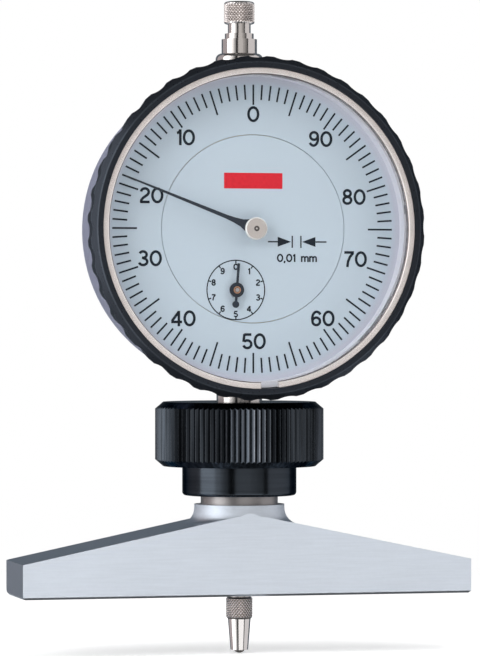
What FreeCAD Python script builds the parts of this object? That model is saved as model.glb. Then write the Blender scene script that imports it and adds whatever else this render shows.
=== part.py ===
import FreeCAD, Part
import Sketcher
import math
import os
from FreeCAD import Placement, Rotation, Vector

# A dial depth gauge. The origin is the centre of the measuring face, +Z is up along the spindle, and the dial
# faces -Y. Pieces of the dial and the movement are drawn in the dial's own frame: x to the reader's right, y up
# and z (called height) from the spindle's axis towards the reader.

doc = FreeCAD.newDocument("DepthGauge")
sheet = doc.addObject("Spreadsheet::Sheet", "Sizes")

# Driving dimensions, in millimetres
SIZES = {
    "base_length": 80,
    "base_width": 16,
    "base_end_height": 6,
    "base_peak_height": 14.3,
    "base_ridge_radius": 18,
    "base_edge": 0.4,
    "base_back_round": 1.2,
    "collar_diameter": 15.8,
    "collar_top": 15.7,
    "collar_flare": 3,
    "contact_passage": 6.2,
    "sleeve_seat_diameter": 11,
    "sleeve_seat_floor": 8,
    "neck_diameter": 13.5,
    "neck_height": 1.55,
    "clamp_thread": 13,
    "nut_diameter": 29.5,
    "nut_gap": 0.38,
    "nut_crown": 4.55,
    "nut_collar_diameter": 20,
    "nut_collar_height": 5.1,
    "nut_collar_round": 0.6,
    "nut_chamfer_width": 1.4,
    "nut_chamfer_height": 1.2,
    "nut_ridges": 96,
    "nut_ridge_depth": 0.35,
    "nut_window": 0.4,
    "collet_wall": 0.9,
    "collet_spread": 0.8,
    "collet_body": 4.8,
    "collet_cone": 3.5,
    "collet_head": 1.6,
    "collet_slit": 0.8,
    "stem_diameter": 8,
    "stem_end": 13,
    "stem_wall": 1.7,
    "stem_chamfer": 0.4,
    "stem_bush_length": 7,
    "stem_bush_diameter": 6,
    "spindle_diameter": 4,
    "spindle_end": -0.5,
    "spindle_travel": 10.6,
    "spindle_neck": 1.7,
    "dial_height": 63.6,
    "case_inset": 0.37,
    "case_taper": 1.2,
    "case_wall": 2.5,
    "case_back": 7,
    "case_round": 0.6,
    "bezel_seat_height": 5.2,
    "case_rim": 9.2,
    "boss_radius": 2.8,
    "boss_inset": 2.5,
    "cover_thickness": 1,
    "cover_spigot": 0.8,
    "cover_overlap": 0.5,
    "cover_chamfer": 0.33,
    "stem_stand_in": 0.8,
    "bush_seat_depth": 1.3,
    "bush_flange_diameter": 8.3,
    "bush_flange_height": 4.3,
    "bush_step_diameter": 6.2,
    "bush_step_height": 2.5,
    "bush_nose_diameter": 5.05,
    "bush_nose_height": 1,
    "cap_diameter": 5.35,
    "cap_height": 3.9,
    "cap_round": 0.5,
    "cap_thread": 3,
    "cap_thread_length": 2.5,
    "contact_diameter": 4.65,
    "contact_grip": 3.9,
    "contact_chamfer": 0.35,
    "contact_cone_diameter": 4,
    "contact_tip_diameter": 3.1,
    "contact_cone": 5.4,
    "contact_thread": 2.5,
    "contact_thread_length": 5,
    "contact_hole_spare": 1,
    "ball_diameter": 2.4,
    "ball_stand_out": 0.58,
    "rack_module": 0.19894,
    "rack_teeth": 24,
    "rack_width": 2.6,
    "rack_pinion_leaves": 16,
    "rack_side": 3.1,
    "wheel_module": 0.2,
    "wheel_teeth": 100,
    "pinion_leaves": 10,
    "wheel_thickness": 0.5,
    "wheel_rim": 1.3,
    "wheel_spoke": 1.4,
    "wheel_hub": 1.6,
    "arbor_diameter": 1.2,
    "pivot_diameter": 0.7,
    "hand_pivot_diameter": 0.7,
    "plate_height": 2.4,
    "plate_thickness": 1.2,
    "plate_margin": 1.2,
    "front_plate_height": 6.6,
    "front_plate_thickness": 1,
    "front_pillar_reach": 12.5,
    "front_pillar_rise": 3.3,
    "bridge_back": 2.5,
    "bridge_thickness": 1,
    "bridge_pillar_reach": 9.5,
    "bridge_pillar_rise": 5,
    "pillar_diameter": 2.8,
    "tenon_diameter": 1.6,
    "peg_diameter": 0.8,
    "front_plate_round": 2.8,
    "bridge_round": 2.1,
    "movement_screw": 1.2,
    "movement_screw_head": 2.4,
    "movement_screw_length": 2.4,
    "case_screw": 1.6,
    "case_screw_head": 3,
    "case_screw_length": 3.4,
    "screw_head_height": 0.6,
    "screw_slot": 0.3,
    "pin_diameter": 1.4,
    "pin_rise": 3,
    "pin_reach": 7.6,
    "rail_near": 3,
    "rail_width": 2,
    "rail_back": 1.8,
    "rail_wall": 0.8,
    "spring_reach": 6.6,
    "spring_length": 22,
    "spring_wire": 0.4,
    "spring_coil": 2.2,
    "spring_turns": 10,
    "post_diameter": 1.5,
    "hairspring_turns": 5,
    "hairspring_reach": 5.6,
    "hairspring_strip": 0.12,
    "hairspring_width": 0.5,
    "hairspring_collet": 2.2,
    "stud_diameter": 0.9,
    "dial_face": 10,
    "dial_thickness": 0.4,
    "dial_plate_radius": 16.2,
    "dial_foot": 1.2,
    "dial_foot_reach": 8,
    "dial_ring_inset": 0.66,
    "dial_gap": 0.1,
    "dial_hole": 1.8,
    "main_hand_height": 11.7,
    "hand_thickness": 0.2,
    "main_hand_stop": 1.8,
    "main_hand_root": 1.35,
    "main_hand_root_reach": 2.6,
    "main_hand_waist": 0.68,
    "main_hand_waist_reach": 5.5,
    "main_hand_tip": 0.25,
    "main_hand_angle": 158.8,
    "hub_cap_diameter": 3.9,
    "hub_cap_height": 0.65,
    "hub_cap_bevel": 0.2,
    "counter_hand_height": 10.6,
    "counter_hand_length": 4.6,
    "counter_hand_tail": 2.5,
    "counter_hand_width": 0.42,
    "counter_hand_hub": 2.56,
    "counter_hand_disc": 1.2,
    "counter_hand_angle": -4.5,
    "counter_bush_diameter": 1.3,
    "bezel_front": 15.5,
    "bezel_radius": 29.62,
    "bezel_widest": 14.1,
    "bezel_taper": 1.35,
    "bezel_lip_inset": 1.12,
    "bezel_wall": 2.07,
    "bezel_skirt": 0.71,
    "crystal_ledge": 1.25,
    "bezel_flutes": 40,
    "bezel_flute_depth": 0.36,
    "bezel_flute_radius": 4.2,
    "bezel_flute_start": 0.7,
    "crystal_seat": 12.9,
    "crystal_thickness": 1,
    "crystal_ring_width": 1.1,
    "crystal_ring_thickness": 1.3,
    "crystal_ring_bevel": 0.2,
    "crystal_ring_gap": 3.2,
    "crystal_ring_gap_side": 1.7,
    "wire_diameter": 0.48,
    "wire_height": 7.2,
    "wire_opening": 20,
    "running_fit": 0.03,
    "snug_fit": 0.01,
    "thread_fit": 0.05,
    "bezel_fit": 0.06,
    "screw_clearance": 0.1,
    "overrun": 1,
}
for row, (name, value) in enumerate(SIZES.items(), start=1):
    sheet.set(f"A{row}", name)
    sheet.set(f"B{row}", str(value))
    sheet.setAlias(f"B{row}", name)
doc.recompute()


class Size:
    """A dimension that carries both its value and the sheet expression that gives it."""

    def __init__(self, value, text):
        self.value = float(value)
        self.text = text

    def _with(self, other, sign, value):
        return Size(value, f"({self.text} {sign} {sized(other).text})")

    def __add__(self, other):
        return self._with(other, "+", self.value + sized(other).value)

    def __sub__(self, other):
        return self._with(other, "-", self.value - sized(other).value)

    def __mul__(self, other):
        return self._with(other, "*", self.value * sized(other).value)

    def __truediv__(self, other):
        return self._with(other, "/", self.value / sized(other).value)

    def __radd__(self, other):
        return sized(other) + self

    def __rsub__(self, other):
        return sized(other) - self

    def __rmul__(self, other):
        return sized(other) * self

    def __rtruediv__(self, other):
        return sized(other) / self

    def __neg__(self):
        return sized(0) - self

    def root(self):
        return Size(math.sqrt(self.value), f"sqrt({self.text})")


def sized(number):
    return number if isinstance(number, Size) else Size(number, f"({number})")


class Sheet:
    """Every named size as an attribute."""

    def __init__(self, names):
        for name in names:
            setattr(self, name, Size(sheet.get(name), f"Sizes.{name}"))


S = Sheet(SIZES)
parts = {}


def keep(label, piece):
    """Name a finished piece; its label is its file's name."""
    piece.Label = label
    parts[label] = piece
    return piece


def bind(piece, prop, number):
    size = sized(number)
    setattr(piece, prop, size.value)
    piece.setExpression(prop, size.text)


def place(piece, x=0, y=0, z=0, rotation=Rotation()):
    spot = [sized(number) for number in (x, y, z)]
    piece.Placement = Placement(Vector(*[size.value for size in spot]), rotation)
    for axis, size in zip("xyz", spot):
        piece.setExpression(f"Placement.Base.{axis}", size.text)
    return piece


def in_dial_frame(piece, x=0, y=0):
    """Stand a piece drawn in the dial's frame in its place, with its z towards the reader."""
    return place(piece, x, 0, S.dial_height + y, Rotation(Vector(1, 0, 0), 90))


# Sketches and turned or padded bodies


def outline(body, plane, corners):
    """A closed outline of straight edges, each corner at a pair of sizes."""
    sketch = body.newObject("Sketcher::SketchObject", "Outline")
    face = next(item for item in body.Origin.OriginFeatures if item.Role == plane)
    sketch.AttachmentSupport = [(face, "")]
    sketch.MapMode = "FlatFace"
    points = [(sized(x), sized(y)) for x, y in corners]
    count = len(points)
    for index, (x, y) in enumerate(points):
        next_x, next_y = points[(index + 1) % count]
        start = Vector(x.value, y.value, 0)
        end = Vector(next_x.value, next_y.value, 0)
        sketch.addGeometry(Part.LineSegment(start, end), False)
    for index in range(count):
        sketch.addConstraint(Sketcher.Constraint("Coincident", index, 2, (index + 1) % count, 1))
    for index, point in enumerate(points):
        for size, kind, axis in zip(point, ("DistanceX", "DistanceY"), (-2, -1)):
            if size.value == 0:
                sketch.addConstraint(Sketcher.Constraint("PointOnObject", index, 1, axis))
            else:
                number = sketch.addConstraint(Sketcher.Constraint(kind, -1, 1, index, 1, size.value))
                sketch.setExpression(f"Constraints[{number}]", size.text)
    return sketch


def turned(name, corners):
    """A body turned about its own z from an outline of (radius, height) corners."""
    body = doc.addObject("PartDesign::Body", name)
    sketch = outline(body, "XZ_Plane", corners)
    turn = body.newObject("PartDesign::Revolution", "Turned")
    turn.Profile = sketch
    turn.ReferenceAxis = (sketch, ["V_Axis"])
    turn.Angle = 360
    doc.recompute()
    return body


def padded(name, plane, corners, thickness, symmetric=False):
    """A body padded from an outline: upwards, or to both sides of its plane."""
    body = doc.addObject("PartDesign::Body", name)
    pad = body.newObject("PartDesign::Pad", "Padded")
    pad.Profile = outline(body, plane, corners)
    bind(pad, "Length", thickness)
    pad.SideType = "Symmetric" if symmetric else "One side"
    doc.recompute()
    return body


def eased(body, kind, size, wanted):
    """Fillet or chamfer the edges that the test picks."""
    base = body.Tip
    names = [f"Edge{n}" for n, edge in enumerate(base.Shape.Edges, start=1) if wanted(edge)]
    edge_break = body.newObject(f"PartDesign::{kind}", kind)
    edge_break.Base = (base, names)
    bind(edge_break, "Radius" if kind == "Fillet" else "Size", size)
    doc.recompute()
    return body


def rim_at(radius, height):
    """A test for the circular edge of that radius and height on a turned body."""

    def test(edge):
        box = edge.BoundBox
        flat = abs(box.ZMin - height.value) < 1e-4 and abs(box.ZMax - height.value) < 1e-4
        return flat and abs(box.XMax - radius.value) < 1e-4

    return test


# Primitives and booleans


def rod(name, radius, x=0, y=0, z=0, length=1, rotation=Rotation()):
    piece = doc.addObject("Part::Cylinder", name)
    bind(piece, "Radius", radius)
    bind(piece, "Height", length)
    return place(piece, x, y, z, rotation)


def block(name, x, y, z, length, width, height):
    piece = doc.addObject("Part::Box", name)
    bind(piece, "Length", length)
    bind(piece, "Width", width)
    bind(piece, "Height", height)
    return place(piece, x, y, z)


def joined(name, *pieces):
    fuse = doc.addObject("Part::MultiFuse", name)
    fuse.Shapes = list(pieces)
    fuse.Refine = True
    return fuse


def cut(name, base, *tools):
    result = doc.addObject("Part::Cut", name)
    result.Base = base
    result.Tool = tools[0] if len(tools) == 1 else joined(name + "_tools", *tools)
    return result


def shaped(name, *solids):
    """A piece or a group of like pieces; the compound keeps each solid where it was turned and moved to."""
    piece = doc.addObject("Part::Feature", name)
    piece.Shape = Part.makeCompound(list(solids))
    return piece


def prism(points, bottom, top):
    """A straight solid over a polygon of (x, y) points."""
    corners = [Vector(x, y, bottom) for x, y in points]
    face = Part.Face(Part.makePolygon(corners + corners[:1]))
    return face.extrude(Vector(0, 0, top - bottom))


TO_X = Rotation(Vector(0, 1, 0), 90)
TO_Y = Rotation(Vector(1, 0, 0), -90)
TO_FRONT = Rotation(Vector(1, 0, 0), 90)

# Radii about the dial's centre, from the bezel's widest one inwards

bezel_back_radius = S.bezel_radius - S.bezel_taper
bezel_bore = S.bezel_radius - S.bezel_wall
bezel_ledge = bezel_bore - S.crystal_ledge
crystal_radius = bezel_bore - S.thread_fit
skirt = bezel_back_radius - S.bezel_skirt
bezel_seat = skirt - S.bezel_fit
dial_ring_radius = skirt - S.dial_ring_inset
case_radius = bezel_back_radius - S.case_inset
case_back_radius = case_radius - S.case_taper
case_bore = case_radius - S.case_wall
boss_circle = case_bore - S.boss_inset
stem_top_reach = case_bore - S.stem_stand_in
bush_seat_reach = case_radius - S.bush_seat_depth

# Measuring base: a slab with two sloping tops and a flared round collar, bored for the clamp sleeve

half_length = S.base_length / 2
slope = (S.base_peak_height - S.base_end_height) / half_length
slope_cosine = 1 / (1 + slope * slope).root()
slope_sine = slope * slope_cosine
slab = padded("BaseSlab", "XZ_Plane", [
    (-half_length, 0),
    (half_length, 0),
    (half_length, S.base_end_height),
    (0, S.base_peak_height),
    (-half_length, S.base_end_height),
], S.base_width, symmetric=True)
eased(slab, "Fillet", S.base_ridge_radius,
      lambda edge: abs(edge.BoundBox.ZMin - S.base_peak_height.value) < 1e-4)
eased(slab, "Fillet", S.base_back_round,
      lambda edge: edge.BoundBox.ZMax < 1e-4 and edge.BoundBox.YMin > S.base_width.value / 2 - 1e-4)
eased(slab, "Chamfer", S.base_edge, lambda edge: edge.BoundBox.ZMax < 1e-4 and edge.BoundBox.YMin < 0)

collar_radius = S.collar_diameter / 2
flare_radius = collar_radius + S.collar_flare
flare_edge = flare_radius - S.collar_flare * slope_sine
flare_centre = S.base_peak_height - slope * flare_edge + S.collar_flare * slope_cosine
flare_body = rod("Flare", flare_edge, z=S.base_end_height, length=flare_centre - S.base_end_height)
flare_hollow = doc.addObject("Part::Torus", "FlareHollow")
bind(flare_hollow, "Radius1", flare_radius)
bind(flare_hollow, "Radius2", S.collar_flare)
place(flare_hollow, z=flare_centre)
flare = cut("CollarFlare", flare_body, flare_hollow)
collar = rod("Collar", collar_radius, z=S.base_end_height, length=S.collar_top - S.base_end_height)
solid_base = joined("BaseSolid", slab, flare, collar)
width_limit = block("BaseWidth", -half_length, -S.base_width / 2, 0, S.base_length, S.base_width, S.collar_top)
trimmed_base = doc.addObject("Part::Common", "BaseTrimmed")
trimmed_base.Base = solid_base
trimmed_base.Tool = width_limit
passage = rod("ContactPassage", S.contact_passage / 2, z=-S.overrun, length=S.collar_top + S.overrun * 2)
sleeve_seat = rod("SleeveSeat", S.sleeve_seat_diameter / 2, z=S.sleeve_seat_floor, length=S.collar_top)
keep("measuring_base", cut("MeasuringBase", trimmed_base, passage, sleeve_seat))

# Clamp: the sleeve stands in the collar, the nut presses the slit collet into it and so grips the stem

stem_radius = S.stem_diameter / 2
nut_bottom = S.collar_top + S.neck_height
nut_top = S.dial_height - S.bezel_radius - S.nut_gap
sleeve_top = nut_top - S.nut_crown
collet_radius = stem_radius + S.collet_wall
collet_bottom = sleeve_top - S.collet_cone - S.collet_body
collet_top = sleeve_top + S.collet_head
sleeve_shoulder = nut_bottom - S.thread_fit
keep("clamp_sleeve", turned("ClampSleeve", [
    (stem_radius + S.thread_fit, S.sleeve_seat_floor),
    (S.sleeve_seat_diameter / 2, S.sleeve_seat_floor),
    (S.sleeve_seat_diameter / 2, S.collar_top),
    (S.neck_diameter / 2, S.collar_top),
    (S.neck_diameter / 2, sleeve_shoulder),
    (S.clamp_thread / 2, sleeve_shoulder),
    (S.clamp_thread / 2, sleeve_top),
    (collet_radius + S.collet_spread + S.thread_fit, sleeve_top),
    (collet_radius + S.thread_fit, sleeve_top - S.collet_cone),
    (collet_radius + S.thread_fit, collet_bottom - S.thread_fit),
    (stem_radius + S.thread_fit, collet_bottom - S.thread_fit),
]))
collet_blank = turned("ColletBlank", [
    (stem_radius + S.snug_fit, collet_bottom),
    (collet_radius, collet_bottom),
    (collet_radius, sleeve_top - S.collet_cone),
    (collet_radius + S.collet_spread, sleeve_top),
    (collet_radius + S.collet_spread, collet_top),
    (stem_radius + S.snug_fit, collet_top),
])
slit_bottom = collet_bottom + S.collet_body / 2
slit_height = collet_top - slit_bottom + S.overrun
slits = [
    block("ColletSlitX", -S.stem_diameter, -S.collet_slit / 2, slit_bottom,
          S.stem_diameter * 2, S.collet_slit, slit_height),
    block("ColletSlitY", -S.collet_slit / 2, -S.stem_diameter, slit_bottom,
          S.collet_slit, S.stem_diameter * 2, slit_height),
]
keep("clamp_collet", cut("ClampCollet", collet_blank, *slits))

nut_step = nut_bottom + S.nut_collar_height
nut_radius = S.nut_diameter / 2
nut_face = nut_radius - S.nut_chamfer_width
nut_shoulder = collet_top + S.thread_fit
nut_blank = turned("NutBlank", [
    (S.clamp_thread / 2 + S.thread_fit, nut_bottom),
    (S.nut_collar_diameter / 2, nut_bottom),
    (S.nut_collar_diameter / 2, nut_step),
    (nut_face, nut_step),
    (nut_radius, nut_step + S.nut_chamfer_height),
    (nut_radius, nut_top - S.nut_chamfer_height),
    (nut_face, nut_top),
    (stem_radius + S.nut_window, nut_top),
    (stem_radius + S.nut_window, nut_shoulder),
    (S.clamp_thread / 2 + S.thread_fit, nut_shoulder),
])
eased(nut_blank, "Fillet", S.nut_collar_round, rim_at(S.nut_collar_diameter / 2, nut_bottom))


def ridge_ring():
    """What is milled away between the nut's straight ridges."""
    count = round(S.nut_ridges.value)
    crest = nut_radius.value
    valley = crest - S.nut_ridge_depth.value
    points = []
    for step in range(2 * count):
        radius = crest if step % 2 == 0 else valley
        angle = math.pi * step / count
        points.append((radius * math.cos(angle), radius * math.sin(angle)))
    bottom = nut_step.value
    height = nut_top.value - bottom
    ring = Part.makeCylinder(crest + S.nut_ridge_depth.value, height, Vector(0, 0, bottom))
    return ring.cut(prism(points, bottom, bottom + height))


keep("clamp_nut", cut("ClampNut", nut_blank, shaped("NutRidges", ridge_ring())))

# Stem, its bush, and the stepped upper bush

stem_top = S.dial_height - stem_top_reach
stem_bore = stem_radius - S.stem_wall
stem_bush_radius = S.stem_bush_diameter / 2
stem_bush_top = S.stem_end + S.stem_bush_length
spindle_radius = S.spindle_diameter / 2
spindle_bore = spindle_radius + S.running_fit
stem = turned("Stem", [
    (stem_bush_radius, S.stem_end),
    (stem_radius, S.stem_end),
    (stem_radius, stem_top),
    (stem_bore, stem_top),
    (stem_bore, stem_bush_top),
    (stem_bush_radius, stem_bush_top),
])
eased(stem, "Chamfer", S.stem_chamfer, rim_at(stem_radius, S.stem_end))
keep("stem", stem)
keep("stem_bush", turned("StemBush", [
    (spindle_bore, S.stem_end),
    (stem_bush_radius, S.stem_end),
    (stem_bush_radius, stem_bush_top),
    (spindle_bore, stem_bush_top),
]))

bush_bottom = S.dial_height + stem_top_reach
bush_seat = S.dial_height + bush_seat_reach
bush_flange_top = bush_seat + S.bush_flange_height
bush_step_top = bush_flange_top + S.bush_step_height
bush_top = bush_step_top + S.bush_nose_height
upper_bush = turned("UpperBush", [
    (spindle_bore, bush_bottom),
    (S.bush_step_diameter / 2, bush_bottom),
    (S.bush_step_diameter / 2, bush_seat),
    (S.bush_flange_diameter / 2, bush_seat),
    (S.bush_flange_diameter / 2, bush_flange_top),
    (S.bush_step_diameter / 2, bush_flange_top),
    (S.bush_step_diameter / 2, bush_step_top),
    (S.bush_nose_diameter / 2, bush_step_top),
    (S.bush_nose_diameter / 2, bush_top),
    (spindle_bore, bush_top),
])
flange_round = (S.bush_flange_diameter - S.bush_step_diameter) / 2 - S.thread_fit
eased(upper_bush, "Fillet", flange_round, rim_at(S.bush_flange_diameter / 2, bush_flange_top))
keep("upper_bush", upper_bush)

# Spindle with its rack, guide pin, contact and lifting cap

PRESSURE = math.radians(20)
RACK_DEPTH = 1.25
RACK_SPACE = 0.56
RACK_SPACES_BELOW = 3
rack_pitch = S.rack_module * math.pi
rack_pinion_radius = S.rack_module * S.rack_pinion_leaves / 2
rack_line = S.rack_side - rack_pinion_radius
rack_tip = rack_line + S.rack_module
rack_root = rack_line - S.rack_module * RACK_DEPTH
wheel_distance = S.wheel_module * (S.wheel_teeth + S.pinion_leaves) / 2
wheel_drop = (wheel_distance * wheel_distance - S.rack_side * S.rack_side).root()
rack_pinion_height = S.dial_height - wheel_drop
rack_lowest = rack_pinion_height - S.spindle_travel - rack_pitch * RACK_SPACES_BELOW
spindle_top = bush_top + S.spindle_neck
pin_height = S.dial_height + S.pin_rise
contact_hole_top = S.spindle_end + S.contact_thread_length + S.contact_hole_spare
spindle_blank = turned("SpindleBlank", [
    (S.contact_thread / 2 + S.snug_fit, S.spindle_end),
    (spindle_radius, S.spindle_end),
    (spindle_radius, spindle_top),
    (S.cap_thread / 2, spindle_top),
    (S.cap_thread / 2, spindle_top + S.cap_thread_length),
    (0, spindle_top + S.cap_thread_length),
    (0, contact_hole_top),
    (S.contact_thread / 2 + S.snug_fit, contact_hole_top),
])


def rack_spaces():
    """What is milled from the spindle's left side: a flat at the tooth tips and the spaces between the teeth.

    At rest the middle of one space is level with the rack pinion.
    """
    pitch = rack_pitch.value
    tip, line, floor = rack_tip.value, rack_line.value, rack_root.value
    count = round(S.rack_teeth.value)
    half_space = pitch * RACK_SPACE / 2
    mouth = half_space + (tip - line) * math.tan(PRESSURE)
    bottom = half_space - (line - floor) * math.tan(PRESSURE)
    first = rack_pinion_height.value
    while first - pitch > rack_lowest.value:
        first -= pitch
    outside = spindle_radius.value + S.overrun.value
    points = [(-outside, first - pitch / 2), (-tip, first - pitch / 2)]
    for space in range(count):
        middle = first + space * pitch
        points += [(-tip, middle - mouth), (-floor, middle - bottom), (-floor, middle + bottom),
                   (-tip, middle + mouth)]
    top = first + (count - 0.5) * pitch
    points += [(-tip, top), (-outside, top)]
    spaces = prism(points, -spindle_radius.value, spindle_radius.value)
    spaces.rotate(Vector(), Vector(1, 0, 0), 90)
    return spaces


pin_hole = rod("PinHole", S.pin_diameter / 2 + S.snug_fit, x=-S.spindle_diameter, z=pin_height,
               length=S.spindle_diameter * 2, rotation=TO_X)
keep("spindle", cut("Spindle", spindle_blank, shaped("RackSpaces", rack_spaces()), pin_hole))

pin_start = spindle_radius - S.screw_clearance
keep("guide_pin", rod("GuidePin", S.pin_diameter / 2, x=-pin_start, z=pin_height,
                      length=S.pin_reach + pin_start, rotation=TO_X))

contact_top = S.spindle_end
contact_shoulder = contact_top - S.contact_grip
contact_tip = contact_shoulder - S.contact_cone
ball_radius = S.ball_diameter / 2
ball_centre = contact_tip - S.ball_stand_out + ball_radius
ball_seat = ball_centre + ball_radius + S.snug_fit
contact_radius = S.contact_diameter / 2
ball_hole = ball_radius + S.snug_fit
keep("contact_point", turned("ContactPoint", [
    (0, ball_seat),
    (ball_hole, ball_seat),
    (ball_hole, contact_tip),
    (S.contact_tip_diameter / 2, contact_tip),
    (S.contact_cone_diameter / 2, contact_shoulder),
    (contact_radius - S.contact_chamfer, contact_shoulder),
    (contact_radius, contact_shoulder + S.contact_chamfer),
    (contact_radius, contact_top - S.contact_chamfer),
    (contact_radius - S.contact_chamfer, contact_top),
    (S.contact_thread / 2, contact_top),
    (S.contact_thread / 2, contact_top + S.contact_thread_length),
    (0, contact_top + S.contact_thread_length),
]))
ball = doc.addObject("Part::Sphere", "ContactBall")
bind(ball, "Radius", ball_radius)
place(ball, z=ball_centre)
keep("contact_ball", ball)

cap_top = spindle_top + S.cap_height
cap_hole_top = spindle_top + S.cap_thread_length + S.screw_clearance
cap = turned("LiftingCap", [
    (S.cap_thread / 2 + S.snug_fit, spindle_top),
    (S.cap_diameter / 2, spindle_top),
    (S.cap_diameter / 2, cap_top),
    (0, cap_top),
    (0, cap_hole_top),
    (S.cap_thread / 2 + S.snug_fit, cap_hole_top),
])
eased(cap, "Fillet", S.cap_round, rim_at(S.cap_diameter / 2, cap_top))
eased(cap, "Fillet", S.cap_round / 2, rim_at(S.cap_diameter / 2, spindle_top))
keep("lifting_cap", cap)

# Case: a turned ring with four screw bosses inside, bored for the stem and the upper bush, and its back cover

case_inner_back = S.case_back - S.cover_spigot
wire_groove = S.wire_diameter / 2 + S.bezel_fit
case_ring = turned("CaseRing", [
    (case_bore, -S.case_back),
    (case_back_radius, -S.case_back),
    (case_radius, S.bezel_seat_height),
    (bezel_seat, S.bezel_seat_height),
    (bezel_seat, S.wire_height - wire_groove),
    (bezel_seat - wire_groove, S.wire_height - wire_groove),
    (bezel_seat - wire_groove, S.wire_height + wire_groove),
    (bezel_seat, S.wire_height + wire_groove),
    (bezel_seat, S.case_rim),
    (case_bore, S.case_rim),
])
eased(case_ring, "Fillet", S.case_round, rim_at(case_back_radius, -S.case_back))
BOSS_ANGLES = (45, 135, 225, 315)


def around(make):
    """One item for each screw boss of the case, given the boss's centre."""
    items = []
    for number, angle in enumerate(BOSS_ANGLES, start=1):
        cosine = math.cos(math.radians(angle))
        sine = math.sin(math.radians(angle))
        items.append(make(number, boss_circle * cosine, boss_circle * sine))
    return items


boss_length = S.plate_height + case_inner_back
bosses = around(lambda number, x, y: rod(f"Boss{number}", S.boss_radius, x, y, -case_inner_back, boss_length))
case_body = joined("CaseBody", case_ring, *bosses)
tapped = S.case_screw / 2 + S.snug_fit
screw_holes = around(lambda number, x, y: rod(
    f"BossHole{number}", tapped, x, y, -case_inner_back - S.overrun, boss_length + S.overrun * 2))
wall_bore = case_radius / 2
stem_hole = rod("StemHole", stem_radius + S.snug_fit, y=-case_radius - S.overrun, length=wall_bore,
                rotation=TO_Y)
bush_hole = rod("BushHole", S.bush_step_diameter / 2 + S.snug_fit, y=wall_bore, length=case_radius,
                rotation=TO_Y)
bush_spot = rod("BushSpot", S.bush_flange_diameter / 2 + S.thread_fit, y=bush_seat_reach, length=wall_bore,
                rotation=TO_Y)
keep("case", in_dial_frame(cut("Case", case_body, stem_hole, bush_hole, bush_spot, *screw_holes)))

cover_back = -S.case_back - S.cover_thickness
cover_radius = case_bore + S.cover_overlap
cover_blank = turned("CoverBlank", [
    (0, cover_back),
    (cover_radius, cover_back),
    (cover_radius, -S.case_back),
    (case_bore - S.thread_fit, -S.case_back),
    (case_bore - S.thread_fit, -case_inner_back),
    (0, -case_inner_back),
])
eased(cover_blank, "Chamfer", S.cover_chamfer, rim_at(cover_radius, cover_back))
head_depth = S.screw_head_height
cover_holes = around(lambda number, x, y: rod(
    f"CoverHole{number}", S.case_screw / 2 + S.screw_clearance, x, y, cover_back - S.overrun, S.case_back))
cover_recesses = around(lambda number, x, y: rod(
    f"CoverRecess{number}", S.case_screw_head / 2 + S.screw_clearance, x, y, cover_back - S.overrun,
    head_depth + S.overrun))
keep("back_cover", in_dial_frame(cut("BackCover", cover_blank, *cover_holes, *cover_recesses)))


def screw(diameter, head, length, under_head, facing):
    """A slotted cheese-head screw; facing is 1 with its head to the reader and -1 with its head behind."""
    height = S.screw_head_height.value
    slot = S.screw_slot.value
    body = Part.makeCylinder(head / 2, height)
    body = body.cut(Part.makeBox(head * 2, slot, height, Vector(-head, -slot / 2, height / 2)))
    body = body.fuse(Part.makeCylinder(diameter / 2, length + height / 4, Vector(0, 0, -length)))
    if facing < 0:
        body.rotate(Vector(), Vector(1, 0, 0), 180)
    body.translate(Vector(0, 0, under_head))
    return body


def screws(label, places, diameter, head, length, under_head, facing):
    """Like screws of one kind as separate solids in one piece group."""
    model = screw(diameter.value, head.value, length.value, under_head.value, facing)
    copies = []
    for x, y in places:
        copy = model.copy()
        copy.translate(Vector(sized(x).value, sized(y).value, 0))
        copies.append(copy)
    return keep(label, in_dial_frame(shaped(label, *copies)))


boss_places = around(lambda number, x, y: (x, y))
screws("cover_screws", boss_places, S.case_screw, S.case_screw_head, S.case_screw_length,
       cover_back + head_depth, -1)

# Movement plates, pillars and screws


def hull(circles):
    """The outline round several discs, from (x, y, radius) in left-hand order: straight tangents and arcs."""
    edges = []
    tangents = []
    for (x1, y1, r1), (x2, y2, r2) in zip(circles, circles[1:] + circles[:1]):
        away = math.atan2(y2 - y1, x2 - x1) - math.acos((r1 - r2) / math.hypot(x2 - x1, y2 - y1))
        out = Vector(math.cos(away), math.sin(away), 0)
        tangents.append((Vector(x1, y1, 0) + out * r1, Vector(x2, y2, 0) + out * r2, away))
    for number, (start, end, away) in enumerate(tangents):
        edges.append(Part.makeLine(start, end))
        next_start, _, next_away = tangents[(number + 1) % len(tangents)]
        x, y, radius = circles[(number + 1) % len(circles)]
        middle = away + ((next_away - away) % (2 * math.pi)) / 2
        through = Vector(x + radius * math.cos(middle), y + radius * math.sin(middle), 0)
        edges.append(Part.Arc(end, through, next_start).toShape())
    return Part.Face(Part.Wire(edges))


def plate(circles, bottom, thickness, holes):
    """A flat bridge over the discs, with round holes given as (x, y, radius)."""
    body = hull(circles).extrude(Vector(0, 0, thickness))
    body.translate(Vector(0, 0, bottom))
    for x, y, radius in holes:
        body = body.cut(Part.makeCylinder(radius, 2 * thickness, Vector(x, y, bottom - thickness / 2)))
    return body


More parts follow.
